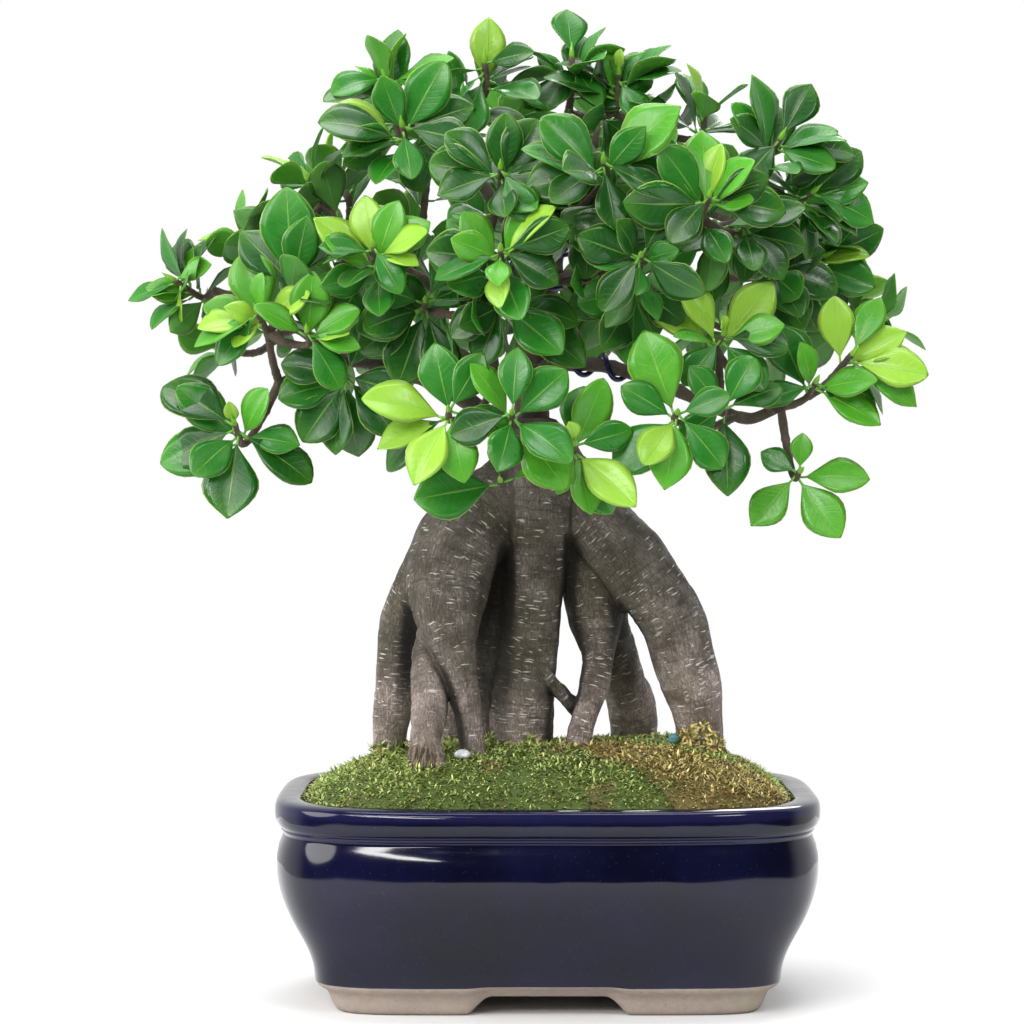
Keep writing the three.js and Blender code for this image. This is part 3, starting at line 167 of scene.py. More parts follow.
SHOOTS = [
  ["shoot_lower_left", [
    [-113, -40, 212, -0.15, -0.85, 0.5, [
      [194, 5, 31, 1], [140, 10, 31, 1], [60, 25, 23, 2], [352, 15, 23, 1], [223, 30, 25, 1],
      [264, 20, 33, 0], [325, 5, 33, 0], [205, -15, 28, 0], [152, -20, 33, 0], [100, 45, 12, 3]
    ]],
  ]],
  ["shoot_far_left", [
    [-138, -10, 265, -0.7, -0.5, 0.45, [
      [172, 10, 20, 2], [190, 0, 12, 3], [187, 15, 18, 2], [84, 10, 16, 2], [112, 0, 24, 1],
      [56, -10, 24, 0], [275, 20, 15, 3], [200, -10, 20, 1], [20, 30, 18, 2]
    ]],
  ]],
  ["shoot_left_front", [
    [-104, -50, 252, -0.2, -0.8, 0.55, [
      [105, -5, 30, 2], [159, 10, 24, 2], [153, 30, 18, 3], [184, 15, 24, 3], [225, 35, 16, 3],
      [28, 20, 22, 3], [85, 20, 17, 2], [207, 10, 26, 2], [232, -5, 24, 1]
    ]],
    [-92, -42, 263, -0.1, -0.8, 0.5, [
      [94, 5, 37, 1], [78, 15, 27, 1], [135, -10, 28, 0], [50, -15, 28, 0]
    ]],
    [-86, -56, 245, 0, -0.85, 0.5, [
      [85, 10, 26, 2], [8, 30, 18, 3], [28, 10, 22, 2], [150, 10, 22, 2], [345, 5, 20, 2],
      [300, -10, 24, 1]
    ]],
  ]],
  ["shoot_left_hanging", [
    [-73, -40, 230, 0, -0.9, 0.2, [
      [195, 10, 26, 1], [235, 10, 28, 0], [262, 5, 28, 0], [278, -15, 30, 0], [310, 0, 28, 0],
      [345, 10, 24, 0], [170, -5, 24, 0], [60, -15, 24, 0]
    ]],
  ]],
  ["shoot_left_crown", [
    [-62, -65, 275, -0.1, -0.75, 0.65, [
      [140, 5, 30, 3], [150, 25, 24, 2], [100, -5, 26, 3], [70, 10, 24, 2], [35, 10, 24, 2],
      [25, 30, 24, 3], [345, 30, 19, 3], [175, 10, 20, 1], [197, 20, 20, 1], [300, 10, 20, 1]
    ]],
  ]],
  ["shoot_centre_inner", [
    [-44, -50, 256, 0, -0.9, 0.3, [
      [197, 15, 27, 1], [250, 0, 30, 0], [285, 5, 30, 0], [215, -10, 30, 0], [160, 0, 24, 1],
      [20, 0, 26, 0], [60, 5, 26, 1]
    ]],
    [-16, -64, 256, 0.1, -0.9, 0.3, [
      [324, 0, 37, 0], [320, 22, 30, 1], [345, -5, 28, 0], [250, -10, 26, 0], [215, -15, 24, 0]
    ]],
  ]],
  ["shoot_centre_lime", [
    [-17, -80, 273, 0, -0.9, 0.4, [
      [125, 10, 24, 2], [137, -10, 26, 1], [60, 10, 23, 2], [44, 15, 28, 3], [158, 20, 20, 2],
      [270, 30, 21, 3], [265, 45, 16, 2], [202, 5, 25, 1], [20, 0, 26, 0], [330, -10, 24, 0]
    ]],
  ]],
  ["shoot_top_left", [
    [-59, -30, 338, -0.2, -0.4, 0.85, [
      [85, 0, 27, 1], [137, 10, 18, 2], [165, 5, 20, 0], [110, 30, 24, 2], [70, 20, 22, 3],
      [20, 15, 27, 2], [350, 25, 24, 1], [200, 20, 22, 1]
    ]],
    [-52, -55, 318, -0.1, -0.8, 0.6, [
      [153, 15, 31, 3], [163, -5, 30, 0], [187, 5, 24, 1], [170, 20, 33, 0], [110, 15, 24, 1],
      [60, 10, 30, 1], [20, 0, 27, 0], [280, 20, 20, 1], [345, 10, 25, 0]
    ]],
  ]],
  ["shoot_top_lime", [
    [-23, -20, 344, 0, -0.35, 0.9, [
      [87, 0, 27, 3], [80, -12, 22, 2], [20, 0, 18, 1], [338, 0, 28, 1], [250, 25, 30, 1],
      [232, 32, 26, 1], [200, 10, 22, 1], [10, 22, 20, 0]
    ]],
  ]],
  ["shoot_top_inner", [
    [-17, -70, 302, 0, -0.85, 0.5, [
      [85, 10, 26, 0], [60, 0, 26, 0], [140, 5, 26, 0], [30, -10, 24, 0], [170, -5, 26, 0],
      [200, 10, 24, 0], [330, 0, 24, 0], [300, 12, 22, 1]
    ]],
  ]],
  ["shoot_top_right", [
    [26, -15, 340, 0.05, -0.35, 0.9, [
      [58, 0, 24, 1], [102, 5, 20, 2], [166, 20, 30, 0], [150, 0, 22, 0], [40, 5, 26, 1],
      [158, -10, 25, 0], [10, 10, 24, 1], [300, 30, 22, 1], [85, 15, 10, 3]
    ]],
  ]],
  ["shoot_centre_crown", [
    [19, -75, 304, 0, -0.85, 0.55, [
      [159, 15, 32, 1], [135, 5, 31, 1], [42, 10, 37, 2], [48, 24, 24, 1], [192, 0, 28, 0],
      [20, -10, 28, 0], [215, 20, 24, 0], [280, 10, 24, 0], [330, 5, 26, 0]
    ]],
    [15, -58, 285, 0, -0.9, 0.3, [
      [165, 10, 28, 0], [188, 0, 28, 0], [350, 5, 24, 0], [100, -10, 24, 0], [265, 5, 22, 0]
    ]],
  ]],
  ["shoot_right_crown", [
    [56, -75, 292, 0.1, -0.85, 0.5, [
      [118, 10, 25, 2], [76, 0, 26, 3], [46, 25, 27, 2], [127, 20, 29, 1], [92, -20, 30, 2],
      [5, 25, 18, 2], [180, 15, 31, 0], [22, 5, 23, 0], [350, -5, 28, 0], [230, 10, 22, 0]
    ]],
    [70, -52, 283, 0.1, -0.9, 0.3, [
      [345, 10, 24, 0], [20, 5, 24, 0], [200, 5, 24, 0], [270, 0, 20, 0], [305, 5, 24, 0]
    ]],
  ]],
  ["shoot_right_shoulder", [
    [84, -35, 315, 0.35, -0.6, 0.7, [
      [101, 0, 32, 1], [127, 15, 25, 1], [20, -5, 26, 1], [8, 10, 27, 1], [340, 20, 24, 1],
      [355, -15, 30, 0], [60, -15, 26, 0], [230, 10, 24, 0]
    ]],
  ]],
  ["shoot_right_upper", [
    [96, -30, 296, 0.6, -0.6, 0.5, [
      [357, 5, 28, 2], [18, 0, 28, 1], [312, 15, 22, 0], [275, 10, 22, 0], [153, 20, 23, 0],
      [40, -15, 28, 0], [200, 15, 22, 0], [335, -10, 26, 1]
    ]],
  ]],
  ["shoot_right_edge", [
    [103, 0, 274, 0.8, -0.4, 0.4, [
      [8, 10, 24, 3], [340, 5, 26, 1], [300, 10, 24, 0], [200, 20, 20, 0], [60, -10, 26, 0],
      [25, -12, 26, 0]
    ]],
    [82, -24, 269, 0.3, -0.9, 0.1, [
      [270, 0, 26, 0], [300, 0, 26, 0], [240, -10, 26, 0], [340, -5, 26, 0]
    ]],
  ]],
  ["shoot_round_leaf", [
    [32, -78, 271, 0, -0.95, 0.2, [
      [180, 20, 20, 1], [262, 35, 15, 1], [15, 30, 16, 1], [160, 5, 24, 0], [151, -15, 30, 0],
      [60, -10, 26, 0], [330, 0, 26, 0], [235, -5, 24, 0]
    ]],
    [31, -54, 262, 0, -0.95, 0.1, [
      [242, 15, 27, 0], [200, 0, 26, 0], [322, 5, 22, 0], [268, -10, 30, 1], [120, 0, 24, 0]
    ]],
  ]],
  ["shoot_lime_trio", [
    [62, -60, 244, 0.1, -0.9, 0.45, [
      [150, 0, 29, 3], [121, 5, 26, 3], [50, 0, 30, 3], [172, 25, 19, 2], [15, 15, 24, 2],
      [310, 10, 24, 1], [230, 5, 22, 1], [350, 0, 24, 0], [95, 50, 10, 3]
    ]],
    [62, -66, 218, 0, -0.95, 0.3, [
      [127, 10, 21, 1], [272, 15, 31, 0], [60, 0, 22, 1], [20, -20, 24, 0], [215, 0, 20, 1]
    ]],
  ]],
  ["shoot_far_right", [
    [96, -45, 227, 0.2, -0.85, 0.5, [
      [115, 5, 28, 1], [122, -12, 26, 1], [104, 18, 19, 2], [8, 22, 25, 2], [330, 10, 28, 2],
      [200, 0, 22, 1], [333, -12, 26, 0]
    ]],
    [109, -46, 237, 0.35, -0.8, 0.5, [
      [96, 5, 26, 3], [28, 10, 26, 3], [2, -8, 28, 3], [350, 12, 30, 3], [325, 2, 30, 2],
      [300, 0, 24, 1], [62, -12, 24, 2]
    ]],
  ]],
  ["shoot_lower_right", [
    [90, -50, 195, 0.2, -0.9, 0.3, [
      [358, 10, 27, 2], [305, 15, 28, 2], [228, 5, 25, 2], [150, -20, 16, 1], [85, 0, 14, 2]
    ]],
  ]],
  ["shoot_right_low", [
    [45, -75, 216, 0, -0.95, 0.3, [
      [110, 0, 34, 2], [149, 5, 23, 1], [233, 35, 25, 3], [222, 0, 30, 1], [260, 12, 27, 2],
      [20, 10, 20, 1], [310, -10, 26, 1]
    ]],
  ]],
  ["shoot_low_centre_right", [
    [9, -78, 205, 0.05, -0.95, 0.3, [
      [68, 10, 29, 2], [80, -10, 24, 1], [318, 20, 31, 3], [285, 10, 24, 2], [300, -15, 28, 1],
      [250, 10, 18, 2], [15, -15, 22, 1], [105, 45, 12, 3]
    ]],
  ]],
  ["shoot_low_centre", [
    [-13, -88, 216, 0, -0.95, 0.3, [
      [126, 5, 25, 2], [42, 0, 26, 1], [323, 30, 30, 1], [255, 35, 24, 1], [306, 5, 32, 2],
      [85, -10, 24, 1], [200, -15, 24, 0]
    ]],
    [-17, -66, 192, -0.1, -0.9, 0.3, [
      [190, 10, 32, 1], [18, 0, 28, 2], [95, 0, 18, 1]
    ]],
  ]],
  ["shoot_low_left", [
    [-35, -84, 217, -0.05, -0.95, 0.3, [
      [167, 15, 33, 3], [102, 0, 27, 1], [204, 5, 28, 3], [243, 20, 29, 3], [282, 10, 25, 2],
      [222, -20, 32, 0], [60, -10, 24, 1], [340, -15, 24, 1]
    ]],
  ]],
  ["shoot_top_middle", [
    [9, -10, 347, 0, -0.2, 1, [
      [58, 0, 24, 1], [150, 0, 22, 0], [190, 10, 24, 0], [20, 20, 22, 1], [240, 30, 24, 0],
      [300, 25, 22, 1], [95, -30, 22, 1]
    ]],
    [58, -12, 326, 0.3, -0.3, 0.9, 7],
  ]],
  ["shoot_right_side", [
    [124, 6, 250, 1, 0, 0.35, 6],
    [114, 40, 258, 0.8, 0.5, 0.4, 7],
  ]],
  ["shoot_back_right_low", [
    [92, 68, 250, 0.6, 0.7, 0.3, 7],
    [62, 78, 258, 0.35, 0.85, 0.35, 7],
  ]],
  ["shoot_back_right_high", [
    [96, 36, 294, 0.7, 0.4, 0.7, 7],
    [62, 58, 304, 0.4, 0.6, 0.8, 7],
  ]],
  ["shoot_back_centre_low", [
    [26, 88, 262, 0.1, 0.95, 0.3, 7],
    [-14, 92, 254, -0.1, 0.95, 0.25, 7],
  ]],
  ["shoot_back_centre_high", [
    [24, 76, 296, 0.1, 0.75, 0.7, 7],
    [20, 44, 328, 0.1, 0.4, 0.9, 7],
  ]],
  ["shoot_back_middle", [
    [-14, 84, 290, -0.05, 0.85, 0.5, 7],
    [-16, 50, 328, -0.1, 0.5, 0.9, 7],
  ]],
  ["shoot_back_left_low", [
    [-48, 84, 246, -0.2, 0.9, 0.3, 7],
    [-78, 74, 240, -0.5, 0.8, 0.3, 7],
  ]],
  ["shoot_back_left_high", [
    [-52, 66, 286, -0.3, 0.7, 0.6, 7],
    [-48, 34, 324, -0.3, 0.4, 0.85, 7],
  ]],
  ["shoot_left_back", [
    [-84, 58, 272, -0.5, 0.6, 0.6, 7],
    [-80, 28, 304, -0.5, 0.3, 0.8, 7],
  ]],
  ["shoot_left_side", [
    [-110, 44, 250, -0.8, 0.5, 0.4, 7],
    [-122, 14, 240, -1, 0.1, 0.2, 6],
  ]],
  ["shoot_left_top", [
    [-88, -10, 302, -0.5, -0.2, 0.85, 7],
    [-112, 6, 280, -0.8, 0, 0.6, 7],
  ]],
]
# ---- Meshes ----


def lumps(points, size, seed=0):
    """Smooth noise between -1 and 1 at each point, with lumps of about the size given."""
    place = np.asarray(points, float) / size + seed * 17.37
    cell = np.floor(place).astype(np.int64)
    part = place - cell
    part = part * part * (3 - 2 * part)
    total = np.zeros(len(place))
    for corner in itertools.product((0, 1), repeat=3):
        key = cell + corner
        mixed = (key[:, 0] * 73856093) ^ (key[:, 1] * 19349663) ^ (key[:, 2] * 83492791)
        mixed = (mixed * 2654435761) & 0x7FFFFFFF
        value = ((mixed >> 9) & 0xFFFF) / 32767.5 - 1
        total += value * np.where(corner, part, 1 - part).prod(axis=1)
    return total


def smooth_line(points, step):
    """A curve through rows of numbers whose first three are a place, sampled about once each step."""
    rows = np.asarray(points, float)
    rows = np.vstack([2 * rows[0] - rows[1], rows, 2 * rows[-1] - rows[-2]])
    rows[0, 3:], rows[-1, 3:] = rows[1, 3:], rows[-2, 3:]
    out = []
    for a, b, c, d in zip(rows, rows[1:], rows[2:], rows[3:]):
        count = max(2, math.ceil(np.linalg.norm(c[:3] - b[:3]) / step))
        for t in np.arange(count) / count:
            out.append(0.5 * (2 * b + (c - a) * t + (2 * a - 5 * b + 4 * c - d) * t**2
                              + (3 * b - a - 3 * c + d) * t**3))
    return np.array(out + [rows[-2]])


def unit(vectors):
    vectors = np.asarray(vectors, float)
    return vectors / np.maximum(np.linalg.norm(vectors, axis=-1, keepdims=True), 1e-9)


def frames_along(line):
    """Two directions across a line at each of its points, carried along it without twisting."""
    ahead = unit(np.gradient(line[:, :3], axis=0))
    side = np.cross(ahead[0], (0.31, 0.59, 0.74))
    sides = []
    for way in ahead:
        side = unit(side - way * np.dot(side, way))
        sides.append(side)
    sides = np.array(sides)
    return sides, np.cross(ahead, sides)


class Shape:
    """Points and faces gathered bit by bit, with numbers kept at each point and a finish for each face."""

    def __init__(self):
        self.points, self.faces, self.finish, self.values, self.uv = [], [], [], {}, []
        self.count = 0

    def add(self, points, faces, finish=0, uv=None, **values):
        points = np.asarray(points, float)
        self.points.append(points)
        self.faces.extend((np.asarray(face) + self.count).tolist() for face in faces)
        self.finish.extend([finish] * len(faces))
        self.uv.append(np.zeros((len(points), 2)) if uv is None else np.asarray(uv, float))
        for name, value in values.items():
            column = np.broadcast_to(np.asarray(value, float), (len(points),))
            self.values.setdefault(name, []).append((self.count, column))
        self.count += len(points)

    def piece(self, name, finishes, stands_for, slot=None):
        """The gathered shape as one piece of the object that takes the place of its CAD nodes."""
        points = np.vstack(self.points) * MM + (*MIDDLE, 0)
        mesh = bpy.data.meshes.new(name)
        mesh.from_pydata(points.tolist(), [], self.faces)
        mesh.polygons.foreach_set("use_smooth", np.ones(len(self.faces), bool))
        mesh.polygons.foreach_set("material_index", np.array(self.finish, np.int32))
        for finish in finishes:
            mesh.materials.append(finish)
        for key, columns in self.values.items():
            whole = np.zeros(self.count, np.float32)
            for start, column in columns:
                whole[start:start + len(column)] = column
            mesh.attributes.new(key, "FLOAT", "POINT").data.foreach_set("value", whole)
        corners = np.empty(len(mesh.loops), np.int32)
        mesh.loops.foreach_get("vertex_index", corners)
        layer = mesh.uv_layers.new(name="UVMap")
        layer.data.foreach_set("uv", np.vstack(self.uv)[corners].astype(np.float32).ravel())
        mesh.update()
        made = bpy.data.objects.new(name, mesh)
        bpy.context.scene.collection.objects.link(made)
        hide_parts(*stands_for)
        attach(made, "root")
        return made


def ring_faces(rings, sides):
    """Quads between rings of points, each ring closed."""
    faces = []
    for ring in range(rings - 1):
        for k in range(sides):
            a, b = ring * sides + k, ring * sides + (k + 1) % sides
            faces.append((a, b, b + sides, a + sides))
    return faces


def tube(line, sides, radii=None, bumps=0.0, seed=0):
    """A closed tube along a line of [x, y, z, radius]: its points, its faces, and places along and across."""
    radii = line[:, 3] if radii is None else radii
    side, up = frames_along(line)
    turn = np.arange(sides) * 2 * math.pi / sides
    ways = side[:, None] * np.cos(turn)[None, :, None] + up[:, None] * np.sin(turn)[None, :, None]
    points = line[:, None, :3] + ways * radii[:, None, None]
    steps = np.r_[0, np.cumsum(np.linalg.norm(np.diff(line[:, :3], axis=0), axis=1))]
    along = np.repeat(steps, sides)
    across = (np.cos(turn)[None, :] * radii[:, None]).ravel()
    flat, out = points.reshape(-1, 3), ways.reshape(-1, 3)
    if bumps:
        flat = flat + out * (bumps * lumps(flat, 4, seed))[:, None]
    faces = ring_faces(len(line), sides)
    first, last = len(flat), len(flat) + 1
    flat = np.vstack([flat, line[:1, :3], line[-1:, :3]])
    faces += [(first, (k + 1) % sides, k) for k in range(sides)]
    end = (len(line) - 1) * sides
    faces += [(last, end + k, end + (k + 1) % sides) for k in range(sides)]
    return flat, faces, dict(along=np.r_[along, 0, steps[-1]], across=np.r_[across, 0, 0])


# ---- Finishes ----


def put(tree, kind, inputs=None, **settings):
    """Places a node and sets or links its inputs."""
    made = tree.nodes.new("ShaderNode" + kind)
    for key, value in settings.items():
        setattr(made, key, value)
    for key, value in (inputs or {}).items():
        join(tree, value, made.inputs[key])
    return made


def join(tree, value, socket):
    if isinstance(value, bpy.types.NodeSocket):
        tree.links.new(value, socket)
    else:
        socket.default_value = value


def maths(tree, operation, *values, clamp=False):
    made = put(tree, "Math", operation=operation, use_clamp=clamp)
    for socket, value in zip(made.inputs, values):
        join(tree, value, socket)
    return made.outputs[0]


def ramp(tree, value, low, high, out_low=0.0, out_high=1.0):
    """A value eased from one range to another."""
    made = put(tree, "MapRange", {"Value": value, "From Min": low, "From Max": high,
                                  "To Min": out_low, "To Max": out_high}, interpolation_type="SMOOTHSTEP")
    return made.outputs[0]


def mix(tree, share, a, b, blend="MIX"):
    made = put(tree, "Mix", {"Factor": share}, data_type="RGBA", blend_type=blend)
    join(tree, a, made.inputs[6])
    join(tree, b, made.inputs[7])
    return made.outputs[2]


def colours(tree, value, stops):
    """A colour ramp through (place, colour) stops."""
    made = put(tree, "ValToRGB", {"Fac": value})
    bar = made.color_ramp.elements
    while len(bar) < len(stops):
        bar.new(1)
    for element, (place, colour) in zip(bar, stops):
        element.position = place
        element.color = (*colour, 1)
    return made.outputs[0]


def stored(tree, name):
    return put(tree, "Attribute", attribute_name=name).outputs["Fac"]


def grain(tree, scale, detail=2.0, rough=0.5, vector=None):
    """Noise from 0 to 1."""
    if vector is None:
        vector = put(tree, "TexCoord").outputs["Object"]
    made = put(tree, "TexNoise", {"Vector": vector, "Scale": scale, "Detail": detail, "Roughness": rough})
    return made.outputs[0]


def bump(tree, height, distance, strength=1.0):
    return put(tree, "Bump", {"Height": height, "Distance": distance, "Strength": strength}).outputs[0]


def finish(name, build, **constants):
    """A material: build(tree) gives what its surface takes, and the constants stay on the shader itself."""
    made = bpy.data.materials.new(name)
    made.use_nodes = True
    tree = made.node_tree
    surface = tree.nodes["Principled BSDF"]
    for key, value in {**constants, **build(tree)}.items():
        join(tree, value, surface.inputs[key])
    return made


def group(name, inputs, outputs):
    """An empty node group with named inputs {name: (kind, value)} and outputs {name: kind}."""
    tree = bpy.data.node_groups.new(name, "ShaderNodeTree")
    kinds = {"value": "NodeSocketFloat", "colour": "NodeSocketColor"}
    for key, (kind, value) in inputs.items():
        socket = tree.interface.new_socket(key, in_out="INPUT", socket_type=kinds[kind])
        socket.default_value = value
    for key, kind in outputs.items():
        tree.interface.new_socket(key, in_out="OUTPUT", socket_type=kinds[kind])
    start = tree.nodes.new("NodeGroupInput")
    end = tree.nodes.new("NodeGroupOutput")
    return tree, start.outputs, end.inputs


def place_group(tree, shared, **inputs):
    made = put(tree, "Group", node_tree=shared)
    for key, value in inputs.items():
        join(tree, value, made.inputs[key.replace("_", " ")])
    return made.outputs


def bark_group():
    """Bark: mottled skin, cracks that run with the limb, and rings and short pale dashes across it."""
    tree, given, out = group("bark", {
        "Dark": ("colour", (0.1, 0.08, 0.06, 1)), "Pale": ("colour", (0.3, 0.25, 0.2, 1)),
        "Tint": ("colour", (0.13, 0.13, 0.06, 1)), "Mark": ("colour", (0.6, 0.55, 0.46, 1)),
        "Mark size": ("value", 1.0), "Mark amount": ("value", 0.5),
    }, {"Colour": "colour", "Height": "value"})
    place = put(tree, "SeparateXYZ", {"Vector": put(tree, "TexCoord").outputs["Object"]}).outputs
    along = maths(tree, "MULTIPLY", stored(tree, "along"), MM)
    side = maths(tree, "MULTIPLY", stored(tree, "across"), MM)

    def stretched(across, length):
        """Places measured in cells of one size across the limb and another along it."""
        across = maths(tree, "MULTIPLY", across, given["Mark size"])
        length = maths(tree, "MULTIPLY", length, given["Mark size"])
        return put(tree, "CombineXYZ", {
            "X": maths(tree, "DIVIDE", side, across), "Y": maths(tree, "DIVIDE", place[1], across),
            "Z": maths(tree, "DIVIDE", along, length)}).outputs[0]

    mottle = grain(tree, 95, 4, 0.6)
    cracks = grain(tree, 1, 3, 0.7, stretched(0.0008, 0.006))
    rings = grain(tree, 1, 2, 0.6, stretched(0.02, 0.0011))
    colour = mix(tree, ramp(tree, mottle, 0.3, 0.72), given["Dark"], given["Pale"])
    colour = mix(tree, ramp(tree, grain(tree, 38, 2), 0.5, 0.72, 0, 0.6), colour, given["Tint"])
    fine = ramp(tree, grain(tree, 1, 4, 0.8, stretched(0.0006, 0.0019)), 0.4, 0.62)
    colour = mix(tree, maths(tree, "MULTIPLY", fine, 0.6), colour, (0.030, 0.024, 0.017, 1))
    colour = mix(tree, ramp(tree, cracks, 0.5, 0.3, 0, 0.42), colour, (0.045, 0.037, 0.028, 1))
    colour = mix(tree, ramp(tree, rings, 0.47, 0.31, 0, 0.55), colour, (0.05, 0.04, 0.03, 1))

    def dashes(across, length, share):
        """Short dashes across the limb: at most the given share of the cells hold one, fewer in places."""
        cells = put(tree, "TexVoronoi", {
            "Vector": stretched(across, length), "Scale": 1.0, "Randomness": 1.0}).outputs
        lot = put(tree, "SeparateColor", {"Color": cells["Color"]}).outputs[0]
        crowding = ramp(tree, grain(tree, 45, 1), 0.35, 0.7, 0.2 * share, share)
        chosen = maths(tree, "LESS_THAN", lot, maths(tree, "MULTIPLY", given["Mark amount"], crowding))
        return maths(tree, "MULTIPLY", ramp(tree, cells["Distance"], 0.3, 0.12), chosen)

    short = maths(tree, "MULTIPLY", dashes(0.0036, 0.0008, 0.45), 0.7)
    marks = maths(tree, "MAXIMUM", dashes(0.0078, 0.00105, 0.9), short)
    colour = mix(tree, maths(tree, "MULTIPLY", marks, 0.9), colour, given["Mark"])
    height = maths(tree, "ADD", maths(tree, "MULTIPLY", cracks, 0.9), maths(tree, "MULTIPLY", rings, 0.6))
    height = maths(tree, "SUBTRACT", height, maths(tree, "MULTIPLY", fine, 0.35))
    height = maths(tree, "ADD", height, maths(tree, "MULTIPLY", marks, 0.35))
    join(tree, colour, out["Colour"])
    join(tree, height, out["Height"])
    return tree


FOOT_LIGHT_GAIN = (2.15, 2.03, 2.22, 1)  # how many times lighter the painted light makes the low, outer feet
PALEST_BARK = (0.86, 0.83, 0.80, 1)


def root_bark(bark):
    """The rootstock's bark: painted lighter towards its low, outer feet, painted shade dark in its creases,
    torn to fibres on one foot.
    """
    def build(tree):
        skin = place_group(tree, bark, Dark=(0.105, 0.088, 0.068, 1), Pale=(0.310, 0.270, 0.225, 1),
                           Tint=(0.120, 0.108, 0.052, 1), Mark=(0.80, 0.75, 0.66, 1),
                           Mark_size=1.0, Mark_amount=1.0)
        # Painted light: the bark is multiplied lighter towards the low, outer feet, away from the canopy's
        # shade, while the centre root's foot stays dark; PALEST_BARK caps it.
        foot_lit = maths(tree, "MULTIPLY_ADD", grain(tree, 40, 2), 24, stored(tree, "bleached"))
        colour = mix(tree, ramp(tree, foot_lit, 126, 98, 0, 0.95), skin["Colour"], FOOT_LIGHT_GAIN, "MULTIPLY")
        colour = mix(tree, 1.0, colour, PALEST_BARK, "DARKEN")
        # Painted shade: the bark is mixed towards near black in its creases, darkest where other wood stands
        # closest.
        groove = ramp(tree, stored(tree, "groove"), 0.12, 0.52, 0, 0.93)
        colour = mix(tree, groove, colour, (0.018, 0.014, 0.010, 1))
        strands = put(tree, "CombineXYZ", {
            "X": maths(tree, "MULTIPLY", stored(tree, "across"), 0.9),
            "Y": maths(tree, "MULTIPLY", stored(tree, "along"), 0.11)}).outputs[0]
        torn = ramp(tree, grain(tree, 1, 4, 0.75, strands), 0.44, 0.56)
        fibre = mix(tree, torn, (0.02, 0.012, 0.006, 1), (0.30, 0.215, 0.15, 1))
        colour = mix(tree, ramp(tree, stored(tree, "frayed"), 0.3, 0.85, 0, 0.9), colour, fibre)
        return {"Base Color": colour, "Roughness": ramp(tree, grain(tree, 160), 0.2, 0.8, 0.5, 0.72),
                "Normal": bump(tree, skin["Height"], 0.0016, 0.9)}
    return finish("root_bark", build, **{"Specular IOR Level": 0.42})


def branch_bark(name, bark, dark, pale, amount, size):
    def build(tree):
        skin = place_group(tree, bark, Dark=dark, Pale=pale, Tint=(0.08, 0.09, 0.03, 1),
                           Mark=(0.46, 0.4, 0.3, 1), Mark_size=size, Mark_amount=amount)
        return {"Base Color": skin["Colour"], "Normal": bump(tree, skin["Height"], 0.0006, 0.7)}
    return finish(name, build, Roughness=0.66)


def leaf_finish():
    """Waxy leaf: its green by age, a pale midrib and rim, faint side veins and a duller underside."""
    def build(tree):
        place = put(tree, "SeparateXYZ", {"Vector": put(tree, "UVMap", uv_map="UVMap").outputs[0]}).outputs
        along = place[0]
        across = maths(tree, "ABSOLUTE", maths(tree, "MULTIPLY_ADD", place[1], 2.0, -1.0))
        age = stored(tree, "age")
        mottle = grain(tree, 130, 3, 0.6)
        aged = maths(tree, "MULTIPLY_ADD", mottle, 0.5, maths(tree, "SUBTRACT", age, 0.25))
        green = colours(tree, maths(tree, "DIVIDE", aged, 3.0), [
            (0.0, (0.006, 0.062, 0.005)), (0.33, (0.013, 0.140, 0.010)),
            (0.66, (0.055, 0.270, 0.014)), (1.0, (0.230, 0.450, 0.035))])
        green = mix(tree, ramp(tree, along, 0.6, 1.0, 0, 0.16), green, (0.13, 0.4, 0.02, 1))
        rib_width = ramp(tree, along, 0.0, 1.0, 0.075, 0.018)
        rib = ramp(tree, maths(tree, "DIVIDE", across, rib_width), 1.3, 0.5)
        slanted = maths(tree, "MULTIPLY_ADD", across, -0.22, along)
        wave = maths(tree, "SINE", maths(tree, "MULTIPLY", slanted, 62.0))
        veins = maths(tree, "MULTIPLY", ramp(tree, wave, 0.72, 1.0), ramp(tree, across, 0.97, 0.4, 0.0, 1.0))
        rim = ramp(tree, across, 0.925, 0.985)
        pale = mix(tree, 0.45, green, (0.30, 0.55, 0.08, 1))
        colour = mix(tree, maths(tree, "MULTIPLY", veins, 0.05), green, pale)
        colour = mix(tree, maths(tree, "MULTIPLY", rib, 0.6), colour, pale)
        colour = mix(tree, maths(tree, "MULTIPLY", rim, 0.6), colour, (0.36, 0.55, 0.08, 1))
        colour = mix(tree, 1.0, colour, put(tree, "CombineColor", {
            key: stored(tree, "tone") for key in ("Red", "Green", "Blue")}).outputs[0], "MULTIPLY")
        under = stored(tree, "under")
        colour = mix(tree, maths(tree, "MULTIPLY", under, 0.6), colour, (0.07, 0.23, 0.035, 1))
        height = maths(tree, "ADD", maths(tree, "MULTIPLY", rib, -0.8), maths(tree, "MULTIPLY", veins, 0.12))
        height = maths(tree, "ADD", height, maths(tree, "MULTIPLY", mottle, 0.35))
        waxy = ramp(tree, mottle, 0.3, 0.7, 0.26, 0.4)
        rough = maths(tree, "ADD", maths(tree, "MULTIPLY", under, 0.2), waxy)
        return {"Base Color": colour, "Roughness": rough, "Normal": bump(tree, height, 0.0004, 0.6)}
    return finish("leaf", build, **{"Specular IOR Level": 0.4, "Coat Weight": 0.12, "Coat Roughness": 0.2,
                                    "Subsurface Weight": 0.08, "Subsurface Radius": (0.002, 0.004, 0.0008),
                                    "Subsurface Scale": 1.0})


